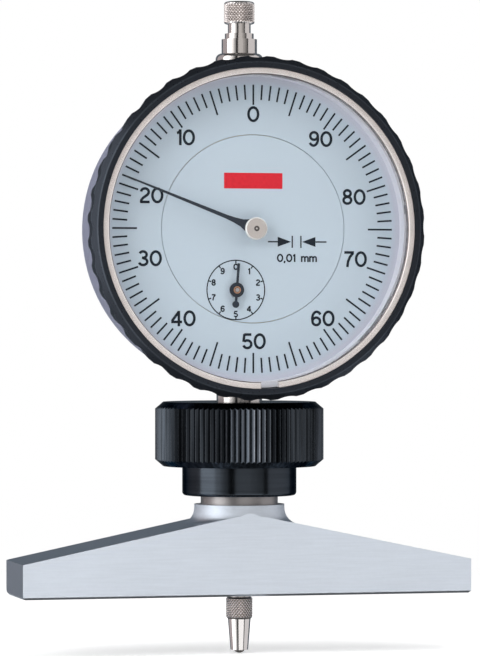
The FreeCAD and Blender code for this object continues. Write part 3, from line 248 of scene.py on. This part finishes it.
def turned_metal(name, colour, roughness, centre=(0, 0, 0), pitch=0.12, depth=0.002, upright=True,
                 metallic=1.0, wall=0.0):
    """Metal with the fine rings that a lathe leaves; upright rings follow the height, others follow the radius.

    Inside the radius given as wall it is darker as painted shade, and the edge there is bright as a painted
    highlight.
    """
    finish = Finish(name, colour, roughness, metallic)
    x, _, z = finish.axes(centre)
    around = finish.radius(x, z)
    run = z if upright else around
    wobble = finish.noise(900, 2)
    rings = (run * (2 * math.pi / pitch) + wobble * 3).sine()
    cloud = finish.noise(160, 2)
    darker = tuple(value * 0.88 for value in colour)
    plain = finish.mix(cloud * 0.7 + rings * 0.1 + 0.1, darker, colour)
    if wall:
        # Painted highlight: a near-white band just outside the wall's radius.
        painted_edge_shading = around.ramp(wall, wall + 0.08) - around.ramp(wall + 0.2, wall + 0.32)
        plain = finish.mix(painted_edge_shading * 0.5, plain, (1.0, 0.98, 0.97))
        # Painted shade: dark brown-grey inside the wall's radius, where the wall lies in shade.
        plain = finish.mix(around.ramp(wall, wall + 0.08, 1.0, 0.0), plain, (0.2, 0.17, 0.165))
    finish.set(**{
        "Base Color": plain,
        "Roughness": roughness + 0.05 * cloud + 0.02 * rings,
    })
    return finish.bump(rings, depth, 0.6)


def knurled_nickel(name, crest, bottom, top):
    """Nickel with painted shade in the grooves of a knurl between two heights; crest is the knurl's outer
    radius.
    """
    finish = Finish(name, NICKEL, 0.1, 1.0)
    x, y, z = finish.axes()
    band = z.ramp(bottom - 0.1, bottom + 0.05) * z.ramp(top - 0.05, top + 0.1, 1.0, 0.0)
    # Painted shade: dark brown in the knurl's grooves, where they lie in shade.
    groove = band * finish.radius(x, y).ramp(crest - KNURL_DEPTH, crest - 0.3 * KNURL_DEPTH, 1.0, 0.0)
    cloud = finish.noise(500, 2)
    plain = finish.mix(cloud, (0.80, 0.765, 0.75), (0.88, 0.85, 0.84))
    crests = finish.mix(band, plain, (1.0, 0.93, 0.9))
    return finish.set(**{
        "Base Color": finish.mix(groove * 0.75, crests, (0.36, 0.3, 0.275)),
        "Roughness": 0.08 + 0.05 * cloud + 0.14 * band,
    })


def bush_brass():
    """The small hand's bush: orange brass round a dark ring and a bright pivot; the dark is painted shade and
    the pivot's brightness a painted highlight.
    """
    finish = Finish("bush_brass", BRASS, 0.3, 0.6)
    around = finish.around((SMALL_X, 0, DIAL_HEIGHT + SMALL_Y))
    cloud = finish.noise(900, 2)
    brass = finish.mix(cloud, (0.56, 0.27, 0.15), (0.74, 0.42, 0.27))
    # Painted shade: dark rings inside and outside the brass; painted highlight: a near-white pivot.
    painted_shade_rings = around.ramp(0.4, 0.46, 1.0, 0.0) + around.ramp(0.6, 0.64)
    painted_pivot_highlight = around.ramp(0.15, 0.21, 1.0, 0.0)
    return finish.set(**{
        "Base Color": finish.mix(painted_pivot_highlight, finish.mix(painted_shade_rings, brass, (0.06, 0.02, 0.012)), (0.95, 0.93, 0.9)),
        "Roughness": 0.28 + 0.1 * cloud,
    })


def turned_hub():
    """The cap on the hand's hub: turned nickel with a brighter rim as a painted highlight and the dark hole of
    its arbor as painted shade.
    """
    finish = Finish("turned_hub", (0.84, 0.75, 0.71), 0.22, 0.7)
    around = finish.around()
    rings = (around * 39 + finish.noise(900, 2) * 2).sine()
    cloud = finish.noise(300, 2)
    # Painted shade: a dark ring for the hole round the arbor.
    hole = around.ramp(0.14, 0.2) - around.ramp(0.44, 0.52)
    face = finish.mix(cloud, (0.80, 0.71, 0.67), (0.90, 0.81, 0.77))
    # Painted highlight: a near-white, less metallic rim in place of the bevel's reflection.
    plain = finish.mix(around.ramp(1.7, 1.82), face, (0.95, 0.93, 0.91))
    finish.set(**{
        "Base Color": finish.mix(hole * 0.9, plain, (0.05, 0.04, 0.04)),
        "Metallic": 0.7 - 0.4 * around.ramp(1.7, 1.82),
        "Roughness": 0.2 + 0.08 * cloud,
    })
    return finish.bump(rings, 0.003, 0.6)


def anodised_black():
    """The clamp nut: black anodised aluminium, with turning marks on its faces and paler crests, a little worn
    all round and with a painted highlight at the front.
    """
    finish = Finish("anodised_black", (0.05, 0.06, 0.075), 0.2, 1.0,
                    **{"Specular Tint": (0.34, 0.355, 0.375, 1)})
    x, y, z = finish.axes()
    grain = finish.noise(2200, 2)
    around = finish.radius(x, y)
    turning = (around * 42 + z * 30).sine()
    crest = around.ramp(14.55, 14.75)
    # Paler crests: a little all round as wear, and much paler at the front as a painted highlight.
    painted_highlight_front = y.ramp(-14.9, -14.3, 1.0, 0.0) * x.ramp(-2.2, -1.2) * x.ramp(1.6, 3.2, 1.0, 0.0)
    wear_and_painted_highlight = crest * (0.15 + 0.85 * painted_highlight_front) * (0.45 + 0.55 * finish.noise(380, 2))
    upright_streak = finish.noise(1500, 2, finish.stretched(1, 1, 0.03)).ramp(0.35, 0.68)
    turned_streak = finish.noise(3000, 2, finish.stretched(0.02, 0.02, 1)) * 2.0
    streak = upright_streak * around.ramp(12.8, 13.4) + turned_streak * around.ramp(12.8, 13.4, 0.6, 0.0)
    black = finish.mix(streak, (0.026, 0.031, 0.038), (0.062, 0.074, 0.09))
    finish.set(**{
        "Base Color": finish.mix(wear_and_painted_highlight, black, (0.36, 0.39, 0.44)),
        "Roughness": 0.14 + 0.08 * grain + 0.02 * turning + 0.1 * crest,
    })
    return finish.bump(grain + 0.15 * turning, 0.004, 0.5)


def bezel_enamel():
    """The bezel: satin black with painted highlights on the edges of its front and rim, and pale grey under the
    crystal as painted light over the shade there.
    """
    finish = Finish("bezel_enamel", rgb(22, 27, 34), 0.26, **{"Specular Tint": (0.42, 0.44, 0.47, 1)})
    grain = finish.noise(2400, 3)
    around = finish.around()
    # Painted highlights: lighter rings at the front's outer edge and on the rim, broken up by noise.
    painted_edge_shading = around.ramp(28.3, 28.5) - around.ramp(28.5, 28.75) + around.ramp(29.4, 29.65)
    painted_rim_highlight = painted_edge_shading * (0.3 + 0.7 * finish.noise(420, 2))
    black = finish.mix(painted_rim_highlight * 0.6, rgb(50, 54, 61), rgb(92, 100, 110))
    # Painted light: pale grey on the inner wall and ledge under the crystal, in place of their shade.
    painted_light_inside = around.ramp(27.35, 27.5, 1.0, 0.0)
    finish.set(**{
        "Base Color": finish.mix(painted_light_inside, black, rgb(226, 224, 232)),
        "Metallic": 0.75 - 0.75 * painted_light_inside,
        "Roughness": 0.24 + 0.1 * grain + 0.2 * painted_light_inside,
        "Specular IOR Level": 0.2,
    })
    return finish.bump(grain, 0.008, 0.5)


def case_satin():
    """The case and its cover: satin grey with a faint violet cast and a fine blasted grain."""
    finish = Finish("case_satin", rgb(170, 173, 198), 0.42, 0.55)
    grain = finish.noise(1800, 3)
    cloud = finish.noise(60, 2)
    finish.set(**{
        "Base Color": finish.mix(0.6 * cloud + 0.4 * grain, rgb(162, 165, 189), rgb(179, 182, 206)),
        "Roughness": 0.36 + 0.14 * grain,
    })
    return finish.bump(grain, 0.01, 0.6)


def dial_paint():
    """The dial: matt pale blue-grey with a very fine grain, a little more violet towards its edge as painted
    shade of the bezel.
    """
    finish = Finish("dial_paint", rgb(194, 206, 218), 0.62)
    grain = finish.noise(2600, 2)
    cloud = finish.noise(45, 2)
    # Painted shade: a violet-grey tint near the rim, where the bezel shades the dial.
    painted_edge_shading = finish.around().ramp(24.5, 26.0)
    face = finish.mix(0.5 * cloud + 0.5 * grain, rgb(192, 204, 217), rgb(201, 212, 223))
    finish.set(**{
        "Base Color": finish.mix(painted_edge_shading * 0.85, face, rgb(200, 199, 212)),
        "Roughness": 0.55 + 0.12 * grain,
    })
    return finish.bump(grain, 0.003, 0.4)


def printed(name, colour):
    """Screen ink on the dial, with a faint unevenness."""
    finish = Finish(name, colour, 0.5, **{"Specular IOR Level": 0.15})
    grain = finish.noise(1800, 2)
    lighter = tuple(value * 1.4 + 0.002 for value in colour)
    return finish.set(**{
        "Base Color": finish.mix(grain, colour, lighter),
        "Roughness": 0.42 + 0.16 * grain,
    })


def hand_enamel():
    """The hands: dark blue-black enamel with a soft sheen."""
    finish = Finish("hand_enamel", rgb(26, 36, 50), 0.34)
    grain = finish.noise(1500, 2)
    return finish.set(**{
        "Base Color": finish.mix(grain, rgb(22, 32, 46), rgb(34, 44, 60)),
        "Roughness": 0.28 + 0.14 * grain,
    })


def clear_crystal():
    """The crystal: a clear pane that mirrors a little and lets the lamps through."""
    finish = Finish("clear_crystal", (1, 1, 1), 0.02)
    pane = finish.add("ShaderNodeBsdfTransparent", {}, {"Color": (0.975, 0.985, 0.985, 1)})
    gloss = finish.add("ShaderNodeBsdfGlossy", {}, {"Roughness": 0.03})
    smear = finish.noise(120, 2)
    slant = finish.add("ShaderNodeLayerWeight", {}, {"Blend": 0.5}, "Facing")
    steep = slant * slant * slant * slant * slant
    mirrored = (0.022 + 0.9 * steep) * (0.75 + 0.25 * smear)
    film = finish.add("ShaderNodeMixShader", {}, {0: mirrored, 1: pane, 2: gloss})
    finish.feed(finish.output.inputs["Surface"], film)
    finish.tree.nodes.remove(finish.shader)
    return finish


STEEL = (0.56, 0.53, 0.525)
NICKEL = (0.84, 0.795, 0.77)
BRASS = (0.75, 0.58, 0.30)
base_finish = ground_steel()
nickel_finish = turned_metal("polished_nickel", NICKEL, 0.09)
steel_finish = turned_metal("turned_steel", STEEL, 0.34, depth=0.003, metallic=0.75)
brass_finish = turned_metal("turned_brass", BRASS, 0.24, depth=0.003)
plate_finish = turned_metal("grained_brass", BRASS, 0.3, DIAL_CENTRE, 0.3, 0.003, upright=False)
spring_finish = turned_metal("spring_steel", (0.55, 0.55, 0.57), 0.2)
trim_finish = turned_metal("nickel_trim", (0.88, 0.81, 0.785), 0.24, DIAL_CENTRE, 0.09, 0.002, upright=False,
                           metallic=0.6, wall=RING_INSIDE)
sleeve_finish = turned_metal("sleeve_steel", (0.44, 0.42, 0.42), 0.36, depth=0.003, metallic=0.9)
bush_finish = bush_brass()
hub_finish = turned_hub()
nut_finish = anodised_black()
bezel_finish = bezel_enamel()
case_finish = case_satin()
paint_finish = dial_paint()
ink_finish = printed("dial_ink", rgb(10, 22, 36))
red_finish = printed("red_field", rgb(206, 28, 44))
hand_finish = hand_enamel()
crystal_finish = clear_crystal()

FINISH_OF = {
    base_finish: ["measuring_base"],
    nickel_finish: ["stem", "upper_bush", "spindle", "contact_ball"],
    sleeve_finish: ["clamp_sleeve"],
    bush_finish: ["counter_hand_bush"],
    steel_finish: ["guide_pin", "cover_screws", "plate_screws", "front_plate_screws",
                   "bridge_screws", "rack_pinion", "centre_pinion", "take_up_arbor", "hairspring_stud",
                   "guide_rail", "spring_post"],
    brass_finish: ["clamp_collet", "stem_bush", "front_pillars", "bridge_pillars"],
    plate_finish: ["middle_plate", "front_plate", "rack_bridge", "first_wheel", "take_up_wheel"],
    spring_finish: ["hairspring", "return_spring", "bezel_spring"],
    trim_finish: ["crystal_ring"],
    hub_finish: ["hub_cap"],
    nut_finish: ["clamp_nut"],
    bezel_finish: ["bezel"],
    case_finish: ["case", "back_cover"],
    paint_finish: ["dial_plate", "dial_ring"],
    hand_finish: ["main_hand", "counter_hand"],
    crystal_finish: ["crystal"],
}
for finish, names in FINISH_OF.items():
    for name in names:
        for slot in nodes[name].material_slots:
            slot.material = finish.material

# Pieces


def placed(name, shapes, finish):
    """Turn a bmesh into an object of one finish."""
    mesh = bpy.data.meshes.new(name)
    shapes.to_mesh(mesh)
    shapes.free()
    mesh.materials.append(finish.material)
    item = bpy.data.objects.new(name, mesh)
    bpy.context.scene.collection.objects.link(item)
    return item


def piece(name, shapes, finish, body, replaced=()):
    """Turn a bmesh in millimetres into a piece of the gauge that moves with a body."""
    bmesh.ops.scale(shapes, vec=(MM, MM, MM), verts=shapes.verts)
    item = placed(name, shapes, finish)
    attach(item, body)
    if replaced:
        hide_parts(*replaced)
    return item


def on_dial(x, y, height):
    """A point of the dial's own frame: x to the right, y up, and height towards the reader."""
    return Vector((x, -height, DIAL_HEIGHT + y))


INK = 0.015


def inked(shapes, points, faces):
    """Add a flat printed shape to a bmesh, just above the dial's face."""
    corners = [shapes.verts.new(on_dial(x, y, DIAL_FACE + INK)) for x, y in points]
    for face in faces:
        shapes.faces.new([corners[number] for number in face])


def band_faces(count, closed=True):
    """The faces of a strip whose corners come in pairs, one pair after another."""
    total = 2 * count
    runs = count if closed else count - 1
    return [(2 * n, 2 * n + 1, (2 * n + 3) % total, (2 * n + 2) % total) for n in range(runs)]


def stroke(shapes, x1, y1, x2, y2, width):
    """A straight inked line."""
    length = math.hypot(x2 - x1, y2 - y1)
    across_x = -(y2 - y1) / length * width / 2
    across_y = (x2 - x1) / length * width / 2
    points = [(x1 - across_x, y1 - across_y), (x2 - across_x, y2 - across_y),
              (x2 + across_x, y2 + across_y), (x1 + across_x, y1 + across_y)]
    inked(shapes, points, [(0, 1, 2, 3)])


def ring_line(shapes, x, y, radius, width):
    """An inked circle."""
    count = 120
    points = []
    for step in range(count):
        angle = 2 * math.pi * step / count
        for reach in (radius - width / 2, radius + width / 2):
            points.append((x + reach * math.cos(angle), y + reach * math.sin(angle)))
    inked(shapes, points, band_faces(count))


def spoke(shapes, x, y, turn, inner, outer, width):
    """An inked tick on a circle; turn is clockwise from the top, in degrees."""
    sine = math.sin(math.radians(turn))
    cosine = math.cos(math.radians(turn))
    stroke(shapes, x + inner * sine, y + inner * cosine, x + outer * sine, y + outer * cosine, width)


def arc(x, y, across, up, start, end, steps=14):
    """Points on an ellipse's arc between two angles in degrees."""
    return [(x + across * math.cos(math.radians(start + (end - start) * n / steps)),
             y + up * math.sin(math.radians(start + (end - start) * n / steps))) for n in range(steps + 1)]


# Figures as centrelines one high, in boxes as wide as each figure needs

PEN = 0.168
FIGURES = {
    "0": (0.84, [arc(0.42, 0.5, 0.312, 0.421, 90, 450, 44)]),
    "1": (0.42, [[(0.29, 0.0), (0.29, 1.0)],
                 [(0.07, 0.775), (0.15, 0.79), (0.225, 0.85), (0.265, 0.925), (0.29, 0.97)]]),
    "2": (0.74, [arc(0.365, 0.71, 0.245, 0.215, 176, -20)
                 + [(0.54, 0.54), (0.24, 0.33), (0.14, 0.2), (0.11, 0.08)],
                 [(0.05, 0.079), (0.67, 0.079)]]),
    "3": (0.76, [arc(0.37, 0.725, 0.225, 0.2, 160, -90, 18) + [(0.29, 0.525)],
                 arc(0.37, 0.285, 0.265, 0.21, 92, -165, 22)]),
    "4": (0.80, [[(0.53, 0.0), (0.53, 0.97)], [(0.54, 0.93), (0.09, 0.33)], [(0.04, 0.275), (0.74, 0.275)]]),
    "5": (0.76, [[(0.64, 0.921), (0.18, 0.921)], [(0.19, 0.96), (0.125, 0.46)],
                 arc(0.37, 0.315, 0.26, 0.24, 138, -162, 24)]),
    "6": (0.77, [arc(0.385, 0.315, 0.245, 0.236, 90, 450, 38),
                 arc(0.42, 0.49, 0.295, 0.431, 36, 200, 20)]),
    "7": (0.72, [[(0.05, 0.921), (0.68, 0.921)], [(0.63, 0.89), (0.42, 0.64), (0.3, 0.36), (0.25, 0.0)]]),
    "8": (0.77, [arc(0.385, 0.725, 0.215, 0.196, 90, 450, 34), arc(0.385, 0.29, 0.25, 0.211, 90, 450, 38)]),
    "9": (0.77, [arc(0.385, 0.685, 0.245, 0.236, 90, 450, 38),
                 arc(0.35, 0.51, 0.295, 0.431, 216, 380, 20)]),
    ",": (0.34, [[(0.17, 0.15), (0.17, 0.0), (0.11, -0.15)]]),
    "m": (1.06, [[(0.12, 0.0), (0.12, 0.74)], [(0.53, 0.0)] + arc(0.34, 0.49, 0.19, 0.171, 0, 165, 12),
                 [(0.94, 0.0)] + arc(0.75, 0.49, 0.19, 0.171, 0, 165, 12)]),
    " ": (0.66, []),
}


def pen_stroke(shapes, line, width):
    """A stroke of even width along a centreline; a line that ends where it starts is closed."""
    closed = math.dist(line[0], line[-1]) < 1e-6
    points = line[:-1] if closed else line
    count = len(points)
    sides = []
    for number, (x, y) in enumerate(points):
        before = points[number - 1] if closed or number else (x, y)
        after = points[(number + 1) % count] if closed or number < count - 1 else (x, y)
        run_x, run_y = after[0] - before[0], after[1] - before[1]
        length = math.hypot(run_x, run_y)
        off_x, off_y = -run_y / length * width / 2, run_x / length * width / 2
        sides += [(x + off_x, y + off_y), (x - off_x, y - off_y)]
    inked(shapes, sides, band_faces(count, closed))


def lettering(shapes, words, x, y, height, weight=1.0):
    """Figures centred on a point, drawn with the pen."""
    total = sum(FIGURES[sign][0] for sign in words)
    start = -total / 2
    for sign in words:
        advance, lines = FIGURES[sign]
        for line in lines:
            points = [(x + (start + px) * height, y + (py - 0.5) * height) for px, py in line]
            pen_stroke(shapes, points, PEN * height * weight)
        start += advance


def dial_scale():
    """A hundred ticks and the tens, numbered to the left from the top."""
    shapes = bmesh.new()
    outer, tick_width, figure_height = 24.9, 0.31, 2.74
    for tick in range(100):
        length = 3.5 if tick % 10 == 0 else 4.35 if tick % 5 == 0 else 2.6
        spoke(shapes, 0, 0, -3.6 * tick, outer - length, outer, tick_width)
    right_half = {90: (12.0, 15.65), 80: (18.0, 5.65), 70: (18.3, -5.15), 60: (12.4, -15.45)}
    for number, (x, y) in right_half.items():
        lettering(shapes, str(number), x, y, figure_height)
        lettering(shapes, str(100 - number), -x, y, figure_height)
    lettering(shapes, "0", 0, 19.8, figure_height)
    lettering(shapes, "50", 0.1, -19.4, figure_height)
    piece("dial_scale", shapes, ink_finish, "bezel_group")


def dial_marks():
    """The small dial, the graduation sign and the value of a division on the dial's middle disc."""
    shapes = bmesh.new()
    ring_radius, line_width = 5.12, 0.24
    ring_line(shapes, SMALL_X, SMALL_Y, ring_radius, 0.2)
    for number in range(10):
        turn = 36 * number
        spoke(shapes, SMALL_X, SMALL_Y, turn, 4.6, ring_radius, 0.22)
        sine, cosine = math.sin(math.radians(turn)), math.cos(math.radians(turn))
        reach = 4.0 if number in (0, 1, 4, 6, 9) else 4.15
        lettering(shapes, str(number), SMALL_X + reach * sine, SMALL_Y + reach * cosine, 1.06, 1.35)
    sign_y = -2.2
    for start, bar in ((2.6, 6.95), (13.1, 8.5)):
        side = 1 if bar > start else -1
        tip, back = bar - side * 0.2, bar - side * 2.6
        stroke(shapes, start, sign_y, back, sign_y, line_width)
        inked(shapes, [(tip, sign_y), (back, sign_y + 0.86), (back, sign_y - 0.86)],
              [(0, 1, 2) if side < 0 else (0, 2, 1)])
        stroke(shapes, bar, sign_y - 1.05, bar, sign_y + 1.05, line_width)
    lettering(shapes, "0,01 mm", 7.8, sign_y - 2.8, 1.38, 1.2)
    piece("dial_marks", shapes, ink_finish, "gauge")


def red_bar():
    """A plain red field above the hand's centre."""
    shapes = bmesh.new()
    centre_y, half_length, half_height, round_off = 8.3, 5.2, 1.36, 0.08
    points = []
    for corner, (side_x, side_y) in enumerate(((1, 1), (-1, 1), (-1, -1), (1, -1))):
        for step in range(5):
            angle = math.radians(90 * corner + 22.5 * step)
            points.append((side_x * (half_length - round_off) + round_off * math.cos(angle),
                           centre_y + side_y * (half_height - round_off) + round_off * math.sin(angle)))
    inked(shapes, points, [tuple(range(len(points)))])
    piece("red_field", shapes, red_finish, "gauge")


FLANKS = 8
KNURL_ROWS = 52


def knurled(name, node, profile, finish, around):
    """A turned piece whose straight side carries a diamond knurl, in place of a plain CAD node.

    The profile is a list of (radius, height, knurled share from 0 to 1), and around is the number of diamonds.
    """
    shapes = bmesh.new()
    sides = around * FLANKS
    rows = []
    for radius, height, share in profile:
        row = []
        for step in range(sides):
            turn = 2 * math.pi * step / sides
            lead = height / KNURL_RISE
            waves = [abs(2 * ((step / FLANKS + slant * lead) % 1.0) - 1) for slant in (1, -1)]
            groove = max(0.0, 1 - 1.35 * min(1 - waves[0], 1 - waves[1]))
            reach = radius - KNURL_DEPTH * share * groove
            row.append(shapes.verts.new((reach * math.cos(turn), reach * math.sin(turn), height)))
        rows.append(row)
    for lower, upper in zip(rows, rows[1:]):
        for step in range(sides):
            after = (step + 1) % sides
            shapes.faces.new((lower[step], lower[after], upper[after], upper[step]))
    shapes.faces.new(list(reversed(rows[0])))
    shapes.faces.new(rows[-1])
    item = piece(name, shapes, finish, "spindle_group", (node,))
    for polygon in item.data.polygons:
        polygon.use_smooth = True
    item.data.set_sharp_from_angle(angle=math.radians(38))


def straight_side(radius, bottom, length):
    """The rows of a knurled side, from its lower end up."""
    return [(radius, bottom + length * step / KNURL_ROWS, 1.0) for step in range(KNURL_ROWS + 1)]


def knurled_cap():
    """The lifting cap: a knurled side under a rounded top edge."""
    low, high = low_high("lifting_cap")
    radius = (high.x - low.x) / 2
    corner = 0.5
    bottom = low.z + 0.34
    profile = [(1.5, low.z, 0), (radius - 0.3, low.z, 0), (radius - 0.08, low.z + 0.12, 0),
               (radius, low.z + 0.3, 0.2)]
    profile += straight_side(radius, bottom, high.z - 0.55 - bottom)
    for angle in range(10, 91, 10):
        turn = math.radians(angle)
        share = 0.35 if angle < 30 else 0
        profile.append((radius - corner * (1 - math.cos(turn)), high.z - corner * (1 - math.sin(turn)), share))
    profile.append((0.3, high.z, 0))
    finish = knurled_nickel("knurled_cap", radius, low.z + 0.3, high.z - 0.5)
    knurled("knurled_lifting_cap", "lifting_cap", profile, finish, 30)


def knurled_point():
    """The contact point: a cone under a knurled side, round the thread that screws into the spindle."""
    low, high = low_high("contact_point")
    radius = (high.x - low.x) / 2
    shoulder = low.z + CONE_LENGTH
    top = shoulder + POINT_KNURL_LENGTH
    hole, tip, cone, thread = 1.2, 1.55, 2.0, 1.25
    profile = [(hole, low.z, 0), (tip, low.z, 0)]
    for step in range(1, 9):
        share = step / 8
        profile.append((tip + (cone - tip) * share, low.z + (shoulder - low.z) * share, 0))
    profile += [(radius - KNURL_EDGE, shoulder, 0), (radius, shoulder + KNURL_EDGE, 0.2)]
    profile += straight_side(radius, shoulder + 0.36, POINT_KNURL_LENGTH - 0.72)
    profile += [(radius, top - KNURL_EDGE, 0.2), (radius - KNURL_EDGE, top, 0),
                (thread, top, 0), (thread, high.z, 0)]
    finish = knurled_nickel("knurled_point", radius, shoulder + KNURL_EDGE, top - KNURL_EDGE)
    knurled("knurled_contact_point", "contact_point", profile, finish, 26)


dial_scale()
dial_marks()
red_bar()
knurled_cap()
knurled_point()

# Studio: a pale floor, a white surround, soft lamps, and tall screens that only mirrors show

VIEW = -14.0
SCREEN_REACH = 1.4
MATT_LIGHT = 0.36
WHITE = (1, 1, 1)
WARM_WHITE = (1.0, 0.97, 0.95)
FOCAL_PIXELS = 3822
PICTURE_HEIGHT = 656
SENSOR = 36
CAMERA_DISTANCE = 669.4


def floor_white():
    """Matt white that keeps the gauge's shadow; away from it the floor is seen as plain white."""
    finish = Finish("floor_white", (0.86, 0.86, 0.86), 0.9,
                    **{"Specular IOR Level": 0.0, "Emission Strength": 1.0})
    x, y, _ = finish.axes()
    grain = finish.noise(8, 2)
    far = finish.radius(x, y).ramp(70, 230)
    near_white = finish.mix(grain, (0.85, 0.85, 0.85), (0.87, 0.87, 0.87))
    seen = finish.in_sight()
    return finish.set(**{
        "Base Color": finish.mix(far * seen, near_white, (0, 0, 0)),
        "Emission Color": finish.mix((0.5 + 0.5 * far) * seen, (0, 0, 0), (1, 1, 1)),
    })


def mirror_only(name, shapes, level, tint=WHITE):
    """Turn a bmesh into a glowing sheet that no camera ray and nothing matt sees."""
    finish = Finish(name, (0, 0, 0), 1.0, **{"Specular IOR Level": 0.0, "Emission Strength": 1.0})
    cloth = finish.noise(3, 1)
    bright = tuple(value * level for value in tint)
    dimmer = tuple(value * 0.94 for value in bright)
    finish.set(**{"Emission Color": finish.mix(cloth, dimmer, bright)})
    item = placed(name, shapes, finish)
    item.visible_camera = False
    item.visible_diffuse = False
    item.visible_shadow = False
    item.visible_transmission = False


def screen(name, start, end, level, tint=WHITE, low=-0.6, high=1.5):
    """A tall curved screen that only mirrors show, between two angles from the camera's side."""
    shapes = bmesh.new()
    steps = max(2, round((end - start) / 5))
    columns = []
    for step in range(steps + 1):
        turn = math.radians(VIEW + start + (end - start) * step / steps)
        x, y = SCREEN_REACH * math.sin(turn), -SCREEN_REACH * math.cos(turn)
        columns.append([shapes.verts.new((x, y, height)) for height in (low, high)])
    for first, second in zip(columns, columns[1:]):
        shapes.faces.new((first[0], second[0], second[1], first[1]))
    mirror_only(name, shapes, level, tint)


def disc(radius, height, count):
    """A bmesh of one round face."""
    shapes = bmesh.new()
    turns = [2 * math.pi * step / count for step in range(count)]
    rim = [shapes.verts.new((radius * math.cos(turn), radius * math.sin(turn), height)) for turn in turns]
    shapes.faces.new(rim)
    return shapes


def floor():
    """A wide floor that the gauge's contact stands on."""
    item = placed("studio_floor", disc(3, cad_box[0].z, 96), floor_white())
    item.visible_glossy = False


def lamp(name, azimuth, elevation, distance, size, power):
    """A square softbox that points at the dial."""
    light = bpy.data.lights.new(name, "AREA")
    light.energy = power
    light.size = size
    item = bpy.data.objects.new(name, light)
    a, e = math.radians(azimuth), math.radians(elevation)
    away = Vector((math.sin(a) * math.cos(e), -math.cos(a) * math.cos(e), math.sin(e)))
    item.location = Vector((0, 0, 0.045)) + away * distance
    item.rotation_mode = "QUATERNION"
    item.rotation_quaternion = away.to_track_quat("Z", "Y")
    item.visible_glossy = False
    bpy.context.scene.collection.objects.link(item)


def surround():
    """White wherever it is seen, also in metal and glass, and plain soft light on what is matt."""
    world = bpy.data.worlds.new("studio")
    bpy.context.scene.world = world
    world.use_nodes = True
    studio = Nodes(world.node_tree)
    backdrop = world.node_tree.nodes["Background"]
    level = {"Value": studio.in_sight(), "To Min": MATT_LIGHT, "To Max": 1.0}
    studio.feed(backdrop.inputs["Strength"], studio.add("ShaderNodeMapRange", {}, level))
    studio.feed(backdrop.inputs["Color"], (*WHITE, 1))


floor()
surround()
lamp("left_softbox", -55, 25, 0.4, 0.26, 1.0)
lamp("right_softbox", 50, 30, 0.9, 0.6, 2.5)
lamp("top_softbox", 10, 75, 0.8, 0.6, 2.4)
screen("screen_left_back", -238, -135, 0.155, (0.76, 0.9, 1.06))
screen("screen_left_side", -135, -84, 0.45, (1.0, 0.91, 0.93))
screen("screen_left", -84, -50, 2.3)
screen("screen_left_soft", -50, -38, 1.2)
screen("screen_left_faint", -38, -31, 0.7)
screen("screen_left_edge", -31, -22, 0.4)
screen("screen_camera_side", -22, -8, 0.02)
screen("screen_front", -8, 24, 0.6, WARM_WHITE, low=-0.1)
screen("screen_front_right", 24, 36, 0.42, WARM_WHITE, low=-0.1)
screen("screen_front_edge", 36, 50, 0.27, WARM_WHITE, low=-0.1)
screen("screen_front_low", -8, 50, 1.15, high=-0.1)
screen("screen_gap", 50, 60, 0.03)
screen("screen_right", 60, 122, 0.72, (1.0, 0.98, 0.99))
mirror_only("screen_above", disc(SCREEN_REACH, 1.5, 60), 0.08)
mirror_only("screen_below", disc(0.07, cad_box[0].z - 0.02, 60), 0.1)


def camera():
    """At the photograph's place: left of the dial, level with the base of the case."""
    data = bpy.data.cameras.new("camera")
    item = bpy.data.objects.new("camera", data)
    bpy.context.scene.collection.objects.link(item)
    data.sensor_width = SENSOR
    data.sensor_fit = "AUTO"
    data.lens = FOCAL_PIXELS / PICTURE_HEIGHT * SENSOR
    turn = math.radians(VIEW)
    back = Vector((math.sin(turn), -math.cos(turn), 0))
    item.location = (Vector((0.13, 0, 46.49)) + back * CAMERA_DISTANCE) * MM
    item.rotation_mode = "QUATERNION"
    item.rotation_quaternion = back.to_track_quat("Z", "Y")
    data.clip_start = 0.01
    data.clip_end = 20
    bpy.context.scene.camera = item


camera()
bpy.context.scene.view_settings.view_transform = "Standard"
